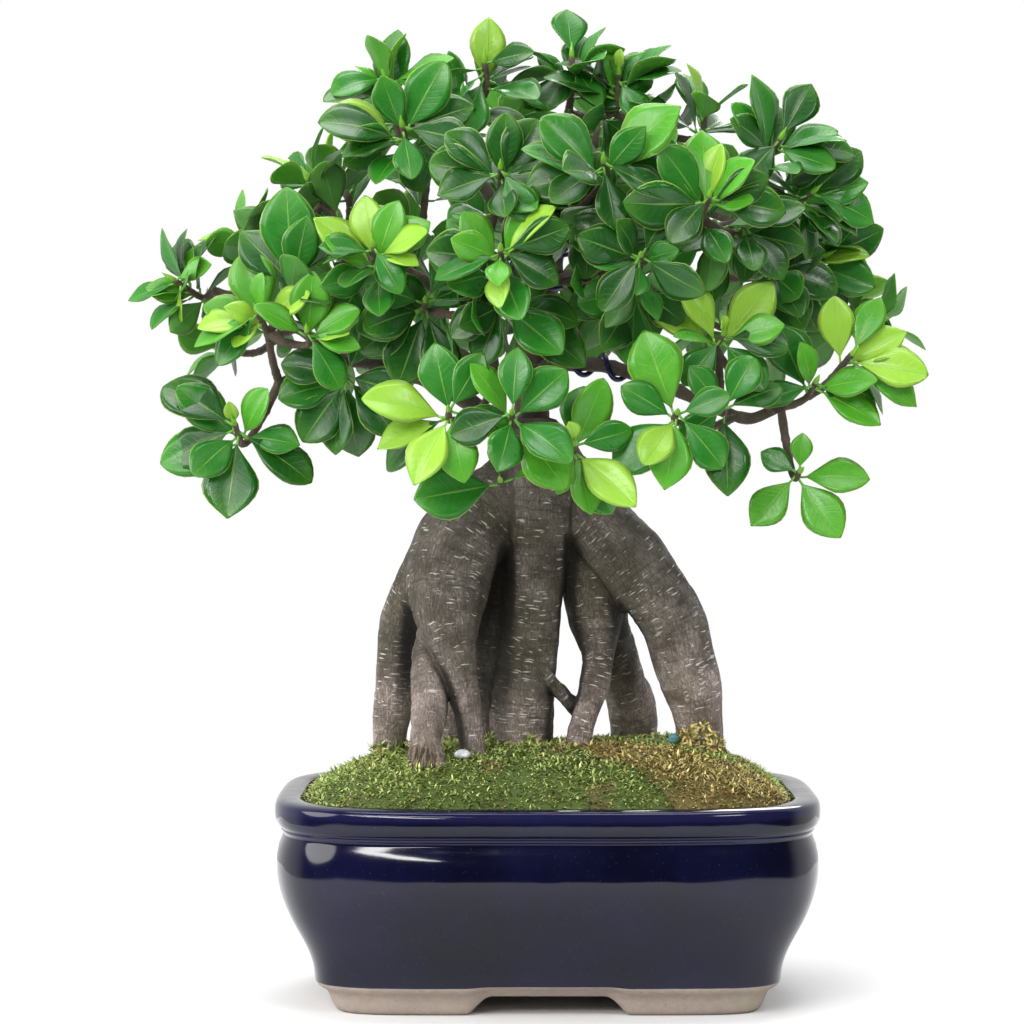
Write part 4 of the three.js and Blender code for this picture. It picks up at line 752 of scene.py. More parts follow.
def moss_group():
    """Moss: each frond's own tint, paler at its tip, over brown, with painted shade at its foot, on the
    cushion below the fronds and on the lowest-tint fronds.
    """
    tree, given, out = group("moss", {
        "Deep": ("colour", (0.02, 0.03, 0.01, 1)), "Frond": ("colour", (0.1, 0.15, 0.03, 1)),
        "Tip": ("colour", (0.3, 0.36, 0.08, 1)), "Dead": ("colour", (0.2, 0.13, 0.05, 1)),
    }, {"Colour": "colour"})
    tint = stored(tree, "tint")
    colour = mix(tree, ramp(tree, tint, 0.35, 0.95), given["Frond"], given["Tip"])
    patchy = maths(tree, "ADD", grain(tree, 70, 3), maths(tree, "MULTIPLY", tint, 0.14))
    colour = mix(tree, ramp(tree, patchy, 0.6, 0.76, 0, 0.7), colour, given["Dead"])
    # Painted shade: the lowest-tint fronds and the cushion below the fronds (tint 0.2) sink towards the shade
    # colour, and so does each frond's foot.
    colour = mix(tree, ramp(tree, tint, 0.35, 0.05, 0, 0.75), colour, given["Deep"])
    colour = mix(tree, ramp(tree, stored(tree, "rise"), 0.75, 0.0), colour, given["Deep"])
    colour = mix(tree, ramp(tree, stored(tree, "seam"), 0.2, 0.7, 0, 0.85), colour, (0.035, 0.016, 0.012, 1))
    join(tree, colour, out["Colour"])
    return tree


def moss_finish(name, moss, deep, frond, tip, dead):
    def build(tree):
        # deep is the colour of the painted shade.
        shades = place_group(tree, moss, Deep=deep, Frond=frond, Tip=tip, Dead=dead)
        return {"Base Color": shades["Colour"], "Normal": bump(tree, grain(tree, 900, 3), 0.0006, 0.5)}
    return finish(name, build, Roughness=0.85, **{"Specular IOR Level": 0.3})


def pot_finish():
    """Dark blue glaze down to the foot's step, and the bare clay below it."""
    def build(tree):
        level = stored(tree, "level")
        wobble = maths(tree, "MULTIPLY", maths(tree, "SUBTRACT", grain(tree, 60, 2), 0.5), 1.6)
        clay = ramp(tree, maths(tree, "ADD", level, wobble), 10.9, 10.3)
        pooled = ramp(tree, grain(tree, 24, 4, 0.65), 0.35, 0.7)
        glaze = mix(tree, pooled, (0.0010, 0.0012, 0.008, 1), (0.0024, 0.0027, 0.019, 1))
        glaze = mix(tree, maths(tree, "MULTIPLY", stored(tree, "thin"), 0.7), glaze, (0.009, 0.008, 0.04, 1))
        specks = ramp(tree, grain(tree, 1500, 1), 0.71, 0.78, 0, 0.35)
        glaze = mix(tree, specks, glaze, (0.05, 0.055, 0.11, 1))
        sand = mix(tree, grain(tree, 420, 4, 0.7), (0.22, 0.175, 0.145, 1), (0.38, 0.315, 0.275, 1))
        sand = mix(tree, ramp(tree, grain(tree, 70, 3), 0.45, 0.75, 0, 0.5), sand, (0.36, 0.34, 0.22, 1))
        sand = mix(tree, ramp(tree, grain(tree, 1300, 2), 0.68, 0.74, 0, 0.5), sand, (0.08, 0.06, 0.05, 1))
        glassy = ramp(tree, pooled, 0, 1, 0.075, 0.105)
        rough = maths(tree, "ADD", maths(tree, "MULTIPLY", clay, 0.75), glassy)
        height = maths(tree, "ADD", maths(tree, "MULTIPLY", grain(tree, 34, 2), 1.0),
                       maths(tree, "MULTIPLY", maths(tree, "MULTIPLY", grain(tree, 700, 3), clay), 0.25))
        return {"Base Color": mix(tree, clay, glaze, sand), "Roughness": rough,
                "Normal": bump(tree, height, 0.0012, 0.35)}
    return finish("glazed_pot", build, **{"Specular IOR Level": 0.4})


def soil_finish():
    def build(tree):
        crumbs = put(tree, "TexVoronoi", {"Vector": put(tree, "TexCoord").outputs["Object"], "Scale": 420.0})
        colour = mix(tree, grain(tree, 300, 3), (0.02, 0.014, 0.009, 1), (0.085, 0.06, 0.038, 1))
        return {"Base Color": colour, "Normal": bump(tree, crumbs.outputs["Distance"], 0.0014, 1.0)}
    return finish("potting_soil", build, Roughness=0.95)


def speckled(name, dark, pale, scale, rough, depth, metal=0.0):
    """A finish of two colours in fine specks, with a slightly uneven skin."""
    def build(tree):
        specks = grain(tree, scale, 3, 0.65)
        return {"Base Color": mix(tree, ramp(tree, specks, 0.35, 0.65), dark, pale),
                "Roughness": ramp(tree, grain(tree, scale * 1.7, 2), 0.2, 0.8, rough * 0.8, rough * 1.2),
                "Normal": bump(tree, specks, depth, 0.5)}
    return finish(name, build, Metallic=metal)


# ---- The pot ----


def outline_angles(count):
    """Angles that give points at equal steps round the rim."""
    fine = np.linspace(0, 2 * math.pi, 40001)
    x, y = outline(HALF_LENGTH, HALF_WIDTH, fine)
    steps = np.r_[0, np.cumsum(np.hypot(np.diff(x), np.diff(y)))]
    return np.interp(np.arange(count) / count * steps[-1], steps, fine)


def outline(half_length, half_width, angle, power=CORNER_POWER):
    """A bowed rectangle with round corners, at an angle round its middle."""
    def bow(value):
        return np.sign(value) * np.abs(value) ** (2 / power)
    return half_length * bow(np.cos(angle)), half_width * bow(np.sin(angle))


def rim_angle(angle, power):
    """The angle that keeps a point on the same spoke when the outline's corners are squarer."""
    share = CORNER_POWER / power
    return np.arctan2(np.sign(np.sin(angle)) * np.abs(np.sin(angle)) ** (1 / share),
                      np.sign(np.cos(angle)) * np.abs(np.cos(angle)) ** (1 / share))


# The pot's section as [distance in from the rim, height], from the underside round to the hollow's floor.
UNDER = [(60, 6.8), (44, 6.8), (42.9, 6.4), (42.5, 5.6), (42.4, 3), (42.1, 1.1), (41.2, 0.2), (40, 0)]
FOOT = [(33, 0), (25.5, 0), (23.6, 0.15), (22.4, 0.7), (21.6, 1.8), (20.9, 3.4), (20.3, 5), (19.7, 6.3),
        (19.1, 7.2), (18.2, 8), (16.9, 8.7), (15.9, 9.5), (15.3, 10.3)]
WALL = [(15.0, 10.9), (14.9, 11.8), (14.8, 13), (14.5, 15), (13.9, 17.5), (12.9, 20.2), (11.6, 23),
        (9.9, 26), (8.1, 29), (6.3, 32), (4.7, 35), (3.3, 38), (2.1, 41), (1.25, 44), (0.65, 47),
        (0.35, 50), (0.4, 53), (0.85, 56), (1.6, 58.8), (2.5, 61), (3.2, 62.7), (3.5, 63.6), (3.3, 64.2),
        (2.7, 64.5), (2.4, 65), (2.5, 65.5), (2.6, 65.9), (1.9, 66.3), (0.9, 67), (0.35, 68),
        (0.1, 69.4), (0, 71), (0.05, 72.6), (0.35, 73.9), (1.0, 74.9), (2.0, 75.6), (3.2, 75.92),
        (4.6, 76), (6.8, 76), (8.3, 75.85), (9.3, 75.4), (9.85, 74.6), (10, 73.4), (10, 70), (10, 64)]
HOLLOW = [(9, 47), (14, 34), (20, 22), (27, 14.8), (60, 14.8)]
POT_SIDES = 400
DRAIN_PLACE = 42  # from the pot's middle to the middle of each drain hole
DRAIN_RADIUS = 7


def gap_height(along, half_top):
    """Height of the gap between two feet, by the distance from its middle."""
    share = np.clip((half_top + 9.2 - np.abs(along)) / 9.0, 0, 1)
    return FOOT_HEIGHT * (share * share * (3 - 2 * share)) ** 0.7


def build_pot(glazed):
    """A lofted pot: underside, feet, glazed wall, rolled lip and hollow, drawn as rings in from the rim."""
    sides = POT_SIDES
    angle = outline_angles(sides)
    stages = [(UNDER, FOOT_HEIGHT), (FOOT, 12.0), (WALL, 12.0), (HOLLOW, 0)]
    rings, levels, thin = [], [], []
    for profile, squeeze in stages:
        for inset, z in profile:
            power = CORNER_POWER + (CORNER_SQUARING * inset if profile is not HOLLOW and z < 75 else 0)
            turned = rim_angle(angle, power)
            x, y = outline(HALF_LENGTH - inset, HALF_WIDTH - inset, turned, power)
            gap = np.maximum(gap_height(x, 20), gap_height(y, 15)) * (inset < 50)
            height = np.full(sides, float(z))
            if z < squeeze:
                height = gap + z * (1 - gap / squeeze)
            rings.append(np.column_stack([x, y, height]))
            levels.append(z if profile is WALL or profile is HOLLOW else min(z, 9.0))
            thin.append(1.0 if profile is WALL and (z < 11.5 or 64.2 < z < 65.8 or 72 < z < 75.7) else 0.0)
    points = np.vstack(rings)
    waves = 0.14 * lumps(points, 26, 3) + 0.05 * lumps(points, 9, 4)
    points[:, 2] += np.where((points[:, 2] > 20) & (points[:, 2] < 75), waves, 0)
    faces = ring_faces(len(rings), sides)
    faces.append(tuple(range(sides))[::-1])
    last = (len(rings) - 1) * sides
    faces.append(tuple(range(last, last + sides)))
    shape = Shape()
    shape.add(points, faces, level=np.repeat(levels, sides), thin=np.repeat(thin, sides))
    made = shape.piece("glazed_pot", [glazed], ["pot"], "glaze")
    for side in (-1, 1):
        drill(made, side * DRAIN_PLACE, DRAIN_RADIUS)
    return made


def drill(body, x, radius):
    """Cuts a round hole down through a piece."""
    bpy.ops.mesh.primitive_cylinder_add(vertices=40, radius=radius * MM, depth=0.03,
                                        location=(MIDDLE[0] + x * MM, MIDDLE[1], 0.012))
    bit = bpy.context.object
    cut = body.modifiers.new("drain", "BOOLEAN")
    cut.object, cut.operation, cut.solver = bit, "DIFFERENCE", "EXACT"
    bpy.context.view_layer.objects.active = body
    bpy.ops.object.modifier_apply(modifier=cut.name)
    bpy.data.objects.remove(bit)


# ---- The rootstock ----

GRID_STEP = 1.0
GRID_LOW = np.array([-76.0, -58.0, 66.0])
GRID_HIGH = np.array([76.0, 62.0, 214.0])
BLEND_SHARE = 0.3  # how softly a limb joins the others, as a share of its first radius


def root_fields():
    """Signed distance to the rootstock's skin on a grid, with the places along and across its limbs."""
    axes = [np.arange(low, high, GRID_STEP) for low, high in zip(GRID_LOW, GRID_HIGH)]
    shape = [len(axis) for axis in axes]
    skin, along, across = np.full(shape, 40.0), np.zeros(shape), np.zeros(shape)
    for number, (_, points) in enumerate(ROOTS):
        line = smooth_line(points, 1.6)
        blend = BLEND_SHARE * points[0][3]
        reach = line[:, 3].max() + blend + 3
        part = tuple(slice(*np.searchsorted(axis, (line[:, k].min() - reach, line[:, k].max() + reach)))
                     for k, axis in enumerate(axes))
        limb, place, offset = limb_field(line, [axis[piece] for axis, piece in zip(axes, part)])
        old = skin[part]
        soft = np.maximum(blend - np.abs(old - limb), 0) / blend
        along[part] = np.where(limb < old, place + number * 31, along[part])
        across[part] = np.where(limb < old, offset, across[part])
        skin[part] = np.minimum(old, limb) - soft**2 * blend / 4
    return skin, along, across


def limb_field(line, axes):
    """Distance to a tapering limb's skin over a box of grid points, and the places along and across it."""
    shape = [len(axis) for axis in axes]
    best, place, offset = np.full(shape, 40.0), np.zeros(shape), np.zeros(shape)
    start = 0.0
    for a, b in zip(line[:-1], line[1:]):
        reach = max(a[3], b[3]) + 12
        part = tuple(slice(*np.searchsorted(axis, (min(a[k], b[k]) - reach, max(a[k], b[k]) + reach)))
                     for k, axis in enumerate(axes))
        x, y, z = np.meshgrid(*(axis[piece] for axis, piece in zip(axes, part)), indexing="ij", sparse=True)
        way, length = b[:3] - a[:3], np.linalg.norm(b[:3] - a[:3])
        t = np.clip(((x - a[0]) * way[0] + (y - a[1]) * way[1] + (z - a[2]) * way[2]) / length**2, 0, 1)
        gap = np.sqrt((x - a[0] - t * way[0])**2 + (y - a[1] - t * way[1])**2 + (z - a[2] - t * way[2])**2)
        gap = gap - (a[3] + t * (b[3] - a[3]))
        closer = gap < best[part]
        best[part] = np.where(closer, gap, best[part])
        place[part] = np.where(closer, start + t * length, place[part])
        side = unit((-way[2], 0, way[0]))
        offset[part] = np.where(closer, (x - a[0]) * side[0] + (z - a[2]) * side[2], offset[part])
        start += length
    return best, place, offset


def sample(field, points):
    """A grid's value at each point, between its neighbours."""
    spot = np.clip((points - GRID_LOW) / GRID_STEP, 0, np.array(field.shape) - 1.001)
    cell = spot.astype(int)
    part = spot - cell
    total = np.zeros(len(points))
    for corner in itertools.product((0, 1), repeat=3):
        at = tuple((cell + corner).T)
        total += field[at] * np.where(corner, part, 1 - part).prod(axis=1)
    return total


def build_rootstock(bark):
    """The rootstock as one smooth skin over its limbs, then swelled and fluted like living wood."""
    skin, along, across = root_fields()
    grid = openvdb.FloatGrid(3.0)
    grid.copyFromArray(np.clip(skin / GRID_STEP, -3, 3).astype(np.float32))
    spots, quads = grid.convertToQuads(0.0)
    points = spots * GRID_STEP + GRID_LOW
    lengthwise = sample(along, points)
    run = np.column_stack([points[:, 0], points[:, 1], lengthwise / 5])
    out = unit(np.column_stack([sample(part, points) for part in np.gradient(skin, GRID_STEP)]))
    depth = 0.75 * lumps(run, 9, 1) + 0.38 * lumps(run, 3.6, 2) + 0.5 * lumps(points, 13, 3)
    depth += 0.22 * lumps(np.column_stack([points[:, :2] / 6, lengthwise]), 1.9, 4)
    points = points + out * depth[:, None]
    frayed = np.exp(-(np.linalg.norm(points - FRAYED_FOOT, axis=1) / 9) ** 2)
    ridges = lumps(np.column_stack([points[:, :2], lengthwise / 9]), 1.5, 8)
    points = points + out * (frayed * 1.1 * ridges)[:, None]
    shape = Shape()
    faces = quads[:, ::-1] if turned_in(points, quads, out) else quads
    bleached = points[:, 2] - 0.4 * np.abs(points[:, 0] + 5)  # low on the low, outer feet, where the bark is painted lighter
    shape.add(points, faces, along=lengthwise, across=sample(across, points),
              groove=hollows(skin, points, out), bleached=bleached, frayed=frayed)
    shape.piece("ginseng_rootstock", [bark], ["rootstock"], "bark")
    return skin, points, out


FRAYED_FOOT = np.array([-45.0, -42.0, 90.0])


def hollows(skin, points, out):
    """How deep in a crease each point lies: 0 on open skin, towards 1 where other wood stands close."""
    closed = np.zeros(len(points))
    for reach, weight in ((2.0, 0.25), (5.0, 0.3), (10.0, 0.25), (18.0, 0.2)):
        space = sample(skin, points + out * reach) / reach
        closed += weight * np.clip(1 - space, 0, 1)
    return closed


def turned_in(points, faces, out):
    a, b, c = (points[faces[:, k]] for k in range(3))
    return np.mean(np.sum(np.cross(b - a, c - a) * out[faces[:, 0]], axis=1)) < 0


# ---- Branches, wire and leafy shoots ----


def build_branches(bark):
    lines = []
    for number, (name, points) in enumerate(BRANCHES):
        line = smooth_line(points, 1.6)
        lines.append(line)
        steps = np.arange(len(line))
        knots = 1 + 0.13 * np.exp(-((steps % 9 - 4) / 1.1) ** 2) + 0.05 * np.sin(steps * 1.3 + number)
        body, faces, places = tube(line, 16, line[:, 3] * knots, 0.3, number)
        shape = Shape()
        shape.add(body, faces, **places)
        shape.piece(name + "_wood", [bark], [name], "young_bark")
    return lines


def build_wires(plated):
    branches = dict(BRANCHES)
    for name, branch, start, end, turns in WIRES:
        line = smooth_line(branches[branch], 0.8)
        first, last = int(start * len(line)), int(end * len(line))
        line = line[first:last]
        side, up = frames_along(line)
        turn = np.linspace(0, turns * 2 * math.pi, len(line))
        away = (line[:, 3] + 1.35)[:, None]
        middle = line[:, :3] + away * (side * np.cos(turn)[:, None] + up * np.sin(turn)[:, None])
        coil = smooth_line(np.column_stack([middle, np.full(len(middle), 1.0)]), 0.7)
        body, faces, _ = tube(coil, 12)
        shape = Shape()
        shape.add(body, faces)
        shape.piece(name + "_coil", [plated], [name], "wire")


def leaf_grid(rows, columns):
    """Shares along and across a blade for its upper and lower skin, and the faces that close it."""
    even = np.arange(rows + 1) / rows
    t = 0.35 * even + 0.65 * (1 - np.cos(math.pi * even)) / 2  # closer together at the foot and the tip
    t, s = np.meshgrid(t, np.arange(columns + 1) / columns * 2 - 1, indexing="ij")
    number = np.arange(t.size).reshape(t.shape)
    inner = number[1:-1, 1:-1]
    lower = number.copy()
    lower[1:-1, 1:-1] = t.size + np.arange(inner.size).reshape(inner.shape)
    def quads(grid):
        return np.stack([grid[:-1, :-1], grid[1:, :-1], grid[1:, 1:], grid[:-1, 1:]], axis=-1).reshape(-1, 4)
    return t.ravel(), s.ravel(), inner.ravel(), np.vstack([quads(number)[:, ::-1], quads(lower)])


BLADE_ROWS = 12
LEAF_T, LEAF_S, LEAF_INNER, LEAF_FACES = leaf_grid(BLADE_ROWS, 6)


def add_leaf(shape, foot, way, facing, length, age, rng):
    """A leaf on its stalk: a thin closed blade folded along its midrib, arched and slightly waved."""
    across = unit(np.cross(facing, way))
    up = np.cross(way, across)
    roll = math.radians(rng.normal(0, 17))
    across, up = across * math.cos(roll) + up * math.sin(roll), up * math.cos(roll) - across * math.sin(roll)
    stalk = 0.13 * length
    blade = length - stalk
    slim = {0: 0.335, 1: 0.325, 2: 0.305, 3: 0.29}[int(age)] * rng.uniform(0.9, 1.14)
    bend = math.radians(rng.uniform(14, 38))
    fold = math.tan(math.radians(rng.uniform(9, 21) if age < 2.5 else rng.uniform(14, 28)))
    t, s = LEAF_T, LEAF_S
    widest, blunt = rng.uniform(1.1, 1.42), rng.uniform(0.6, 0.98)
    turned = np.clip(t, 0.0005, 0.9995) ** widest
    wide = slim * blade * np.sin(math.pi * turned) ** np.where(turned < 0.5, 0.92, blunt)
    wide = np.maximum(wide, 0.012 * blade)
    ahead = stalk + t * blade
    sunk = -blade * bend * 0.5 * (t * t - t)
    wave = 0.05 * wide * np.sin(t * rng.uniform(8, 13) + rng.uniform(0, 6)) * s
    lift = sunk + fold * np.abs(s) * wide * (1 - 0.42 * np.abs(s)) + wave * np.abs(s)
    top = foot + np.outer(ahead, way) + np.outer(wide * s, across) + np.outer(lift, up)
    thickness = 0.34 * np.sqrt(np.clip(1 - s * s, 0, 1)) * np.clip(8 * t * (1 - t) + 0.2, 0, 1) + 0.06
    low = top - np.outer(thickness, up)
    points = np.vstack([top, low[LEAF_INNER]])
    uv = np.column_stack([np.r_[t, t[LEAF_INNER]], np.r_[s, s[LEAF_INNER]] / 2 + 0.5])
    tone = rng.uniform(0.82, 1.12)
    under = np.r_[np.zeros(len(top)), np.ones(len(LEAF_INNER))]
    shape.add(points, LEAF_FACES, 0, uv, age=age, tone=tone, under=under)
    end = foot + way * (stalk + 0.6)
    stem = np.array([[*foot, 0.62], [*((foot + end) / 2 - up * 0.12), 0.5], [*end, 0.46]])
    body, faces, _ = tube(stem, 6)
    shape.add(body, faces, 0, np.full((len(body), 2), (0.3, 0.5)), age=max(age, 1.6), tone=tone)


AGES = (0, 0, 1, 1, 2, 2, 3)  # from a rosette's oldest, darkest leaf to its youngest


def rosette_leaves(leaves, facing, number):
    """Direction, length and age of each of a rosette's leaves, the oldest first."""
    if isinstance(leaves, list):
        made = []
        for angle, lean, length, age in leaves:
            a, b = math.radians(angle), math.radians(lean)
            way = np.array([math.cos(a) * math.cos(b), -math.sin(b), math.sin(a) * math.cos(b)])
            made.append((way, length, age))
        return made
    side = unit(np.cross((facing[2], 0.2, -facing[0]), facing))
    other = np.cross(facing, side)
    made = []
    for k in range(leaves):
        young = k / (leaves - 1)
        opening = math.radians(82 + (38 - 82) * young)
        turned = math.radians(SPIRAL_TURN * (k + number * 0.7))
        out = side * math.cos(turned) + other * math.sin(turned)
        way = out * math.sin(opening) + facing * math.cos(opening)
        made.append((way, 30 - 10 * young, AGES[k % 7]))
    return made


def nearest_wood(place, lines):
    """The nearest point of the branches' middles, leaving out the start of each."""
    found = [line[len(line) // 8:, :3] for line in lines]
    every = np.vstack(found)
    return every[np.argmin(np.linalg.norm(every - place, axis=1))]


def add_twig(shape, start, tip, facing, count, seed):
    """A twig that leaves its branch, bends and runs straight out through its rosette, to a pointed bud."""
    last = tip - facing * LEAF_STEP * count
    bend = (start + last) / 2 - (0, 0, 0.08 * np.linalg.norm(start - last))
    line = smooth_line(np.array([[*start, 1.6], [*bend, 1.45], [*last, 1.3], [*tip, 1.05]]), 1.2)
    steps = np.arange(len(line))
    rings = 1 + 0.12 * (steps % 5 == 0) + 0.04 * np.sin(steps * 2.1 + seed)
    body, faces, places = tube(line, 8, line[:, 3] * rings, 0.12, seed)
    shape.add(body, faces, 1, **places)
    bud = smooth_line(np.array([
        [*(tip - facing), 0.95], [*(tip + facing * 1.6), 1.0], [*(tip + facing * 5.5), 0.12]]), 1)
    body, faces, _ = tube(bud, 8)
    shape.add(body, faces, 0, np.full((len(body), 2), (0.4, 0.75)), age=2.6, tone=1)
    return last, line


CROWN_HEIGHT = 252
INNER_LEAVES = 7


def add_inner_leaves(shape, line, rng):
    """Older, darker leaves set singly along a twig below its rosette, which close up the crown."""
    side, up = frames_along(line)
    for k in range(INNER_LEAVES):
        at = int(len(line) * (0.84 - 0.1 * k))
        ahead = unit(line[at + 1, :3] - line[at, :3])
        turned = math.radians(SPIRAL_TURN * k + rng.uniform(0, 360) * (k == 0))
        out = side[at] * math.cos(turned) + up[at] * math.sin(turned)
        way = unit(out + ahead * rng.uniform(0.1, 0.6))
        add_leaf(shape, line[at, :3], way, ahead, rng.uniform(21, 27), k % 2, rng)


def build_shoots(leaf, bark, lines):
    for number, (name, rosettes) in enumerate(SHOOTS):
        shape = Shape()
        rng = np.random.default_rng(400 + number)
        first = None
        for x, y, z, fx, fy, fz, leaves in rosettes:
            tip, facing = np.array([x, y, z], float), unit(np.array([fx, fy, fz]))
            start = nearest_wood(tip, lines) if first is None else first
            made = rosette_leaves(leaves, facing, number)
            bend, line = add_twig(shape, start, tip, facing, len(made), number)
            first = bend if first is None else first
            if z > CROWN_HEIGHT:
                add_inner_leaves(shape, line, rng)
            for k, (way, length, age) in enumerate(made):
                foot = tip - facing * (LEAF_STEP * (len(made) - 1 - k) + 0.5)
                add_leaf(shape, foot, way, facing, length, age, rng)
        shape.piece(name.replace("shoot", "leaves"), [leaf, bark], [name], "leaf")


# ---- Moss and what lies on it ----

BED_LENGTH = HALF_LENGTH - LIP_WIDTH - 0.6
BED_WIDTH = HALF_WIDTH - LIP_WIDTH - 0.6


def bed_share(x, y):
    """How far out a place lies: 0 in the middle of the bed of moss, 1 at its edge."""
    a = np.abs(x / BED_LENGTH) ** CORNER_POWER
    b = np.abs(y / BED_WIDTH) ** CORNER_POWER
    return (a + b) ** (1 / CORNER_POWER)


def bed_angle(x, y):
    """The angle in degrees that the outline takes through a place, from 0 to 360."""
    a = np.sign(x) * (np.abs(x) / BED_LENGTH) ** (CORNER_POWER / 2)
    b = np.sign(y) * (np.abs(y) / BED_WIDTH) ** (CORNER_POWER / 2)
    return np.degrees(np.arctan2(b, a)) % 360


def moss_height(x, y):
    """A mound that falls to the rim, a low bank round the right roots, and soft cushions over it all."""
    share = np.minimum(1, bed_share(x, y))
    bank = 3.5 * np.exp(-(((x - 52) / 26) ** 2) - ((y - 12) / 30) ** 2)
    flat = np.column_stack([x, y, np.zeros_like(x)])
    cushions = 0.9 * lumps(flat, 15, 5) + 0.5 * lumps(flat, 6, 6)
    edge = -2.2 * np.clip((share - 0.9) / 0.1, 0, 1) ** 2
    mound = MOUND_RISE * (1 - share**MOUND_POWER) + bank + cushions * (1 - share**6)
    return POT_HEIGHT + mound + edge - 0.8 - 1.4 * seam(x, y)


def seam(x, y):
    """A bare seam between two cushions at the front, 1 along its middle."""
    start, way = np.array((27.0, -18.0)), np.array((-26.0, -40.0))
    t = np.clip(((x - start[0]) * way[0] + (y - start[1]) * way[1]) / way.dot(way), 0, 1)
    bend = 3.0 * np.sin(t * 7)
    gap = np.hypot(x - start[0] - t * way[0] - bend, y - start[1] - t * way[1])
    return np.exp(-((gap / 1.8) ** 2))


def patch_angle(x, y):
    """The angle that decides a frond's patch, unsettled a little so that neighbouring patches interleave."""
    flat = np.column_stack([x, y, np.zeros_like(x)])
    return bed_angle(x, y) + 7 * lumps(flat, 9, 11) + 6 * lumps(flat, 2.2, 12)


PATCHES = [("moss_front", 199.5, 285.5), ("moss_golden", 285.5, 356.5), ("moss_right_back", 356.5, 456.5),
           ("moss_left", 96.5, 199.5)]


def build_patch(name, start, end, finish_, roots, slot, seed):
    """A patch of moss: a closed cushion with thousands of small curved fronds rooted in it."""
    shape = Shape()
    rows, columns = 36, int((end - start) / 1.6)
    spokes = np.radians(np.linspace(start, end, columns))
    share, turn = np.meshgrid(np.linspace(0.03, 0.995, rows), spokes, indexing="ij")
    x, y = outline(BED_LENGTH * share.ravel(), BED_WIDTH * share.ravel(), turn.ravel())
    top = np.column_stack([x, y, moss_height(x, y)])
    low = top - (0, 0, MOSS_THICKNESS - 1)
    grid = np.arange(rows * columns).reshape(rows, columns)
    cells = np.stack([grid[:-1, :-1], grid[1:, :-1], grid[1:, 1:], grid[:-1, 1:]], axis=-1).reshape(-1, 4)
    border = np.r_[grid[0], grid[1:, -1], grid[-1, -2::-1], grid[-2:0:-1, 0]]
    after = np.roll(border, -1)
    rim = np.column_stack([border, after, after + rows * columns, border + rows * columns])
    faces = np.vstack([cells, cells[:, ::-1] + rows * columns, rim])
    shape.add(np.vstack([top, low]), faces, tint=0.2, rise=0.3, seam=np.tile(seam(x, y), 2))
    base = frond_places(start, end, roots[0], seed)
    add_fronds(shape, base, np.tile((0, 0, 1.0), (len(base), 1)), seed)
    climbing = climbing_places(start, end, roots)
    add_fronds(shape, *climbing, seed + 50)
    shape.piece(name + "_fronds", [finish_], [name], slot)


FROND_SPACING = 0.72


def frond_places(start, end, skin, seed):
    """Scattered places on the moss between two angles, clear of the roots."""
    rng = np.random.default_rng(seed)
    tries = int(4 * BED_LENGTH * BED_WIDTH / FROND_SPACING**2)
    x, y = rng.uniform(-BED_LENGTH, BED_LENGTH, tries), rng.uniform(-BED_WIDTH, BED_WIDTH, tries)
    inside = (bed_share(x, y) < 0.99) & ((patch_angle(x, y) - start) % 360 < end - start)
    x, y = x[inside], y[inside]
    z = moss_height(x, y)
    outside = sample(skin, np.column_stack([x, y, np.maximum(z, 68)])) > -0.5
    return np.column_stack([x, y, z - 0.4])[outside]


def climbing_places(start, end, roots):
    """Places on the roots' feet that moss has climbed, highest on the right arch, and the way each faces."""
    _, points, out = roots
    x, y, z = points.T
    high = 1.5 + 2.2 * lumps(points * (1, 1, 0.3), 5, 9)
    high += 9.0 * np.exp(-(((x - 58) / 9) ** 2) - ((y + 6) / 12) ** 2) + 3.5 * np.exp(-(((x + 60) / 9) ** 2))
    climbed = (z < moss_height(x, y) + high) & (z > moss_height(x, y) - 0.5) & (bed_share(x, y) < 0.97)
    arch_foot = (x > 44) & (y < 14)
    golden = start == PATCHES[1][1]
    climbed &= arch_foot if golden else ~arch_foot & ((bed_angle(x, y) - start) % 360 < end - start)
    return points[climbed], out[climbed]


def add_fronds(shape, base, out, seed):
    """Small curved fronds, each a quad and a pointed tip, leaning at random about the way out."""
    count = len(base)
    if not count:
        return
    rng = np.random.default_rng(seed + 100)
    turn, lean = rng.uniform(0, 2 * math.pi, count), np.radians(rng.normal(58, 18, count))[:, None]
    size = rng.uniform(1.6, 3.9, (count, 1)) * (1 + 0.45 * lumps(base, 9, 7))[:, None]
    first = unit(np.cross(out, (0.3, 0.9, 0.2)))
    second = np.cross(out, first)
    heading = first * np.cos(turn)[:, None] + second * np.sin(turn)[:, None]
    side = np.cross(out, heading)
    ahead = heading * np.sin(lean) + out * np.cos(lean)
    droop = heading * np.cos(lean) - out * np.sin(lean)
    wide = side * rng.uniform(0.22, 0.45, (count, 1))
    half = base + ahead * size * 0.5 + droop * size * 0.05
    tip = base + ahead * size * 0.92 + droop * size * 0.34
    corners = [base - wide * 0.6, base + wide * 0.6, half + wide, half - wide, tip]
    blades = np.stack(corners, axis=1).reshape(-1, 3)
    starts = np.arange(count)[:, None] * 5
    faces = (starts + [0, 1, 2, 3]).tolist() + (starts + [3, 2, 4]).tolist()
    tint = np.repeat(np.clip(rng.normal(0.5, 0.28, count), 0, 1), 5)
    rise = np.tile([0.2, 0.2, 0.75, 0.75, 1.0], count)
    shape.add(blades, faces, tint=tint, rise=rise, seam=np.repeat(seam(base[:, 0], base[:, 1]), 5))


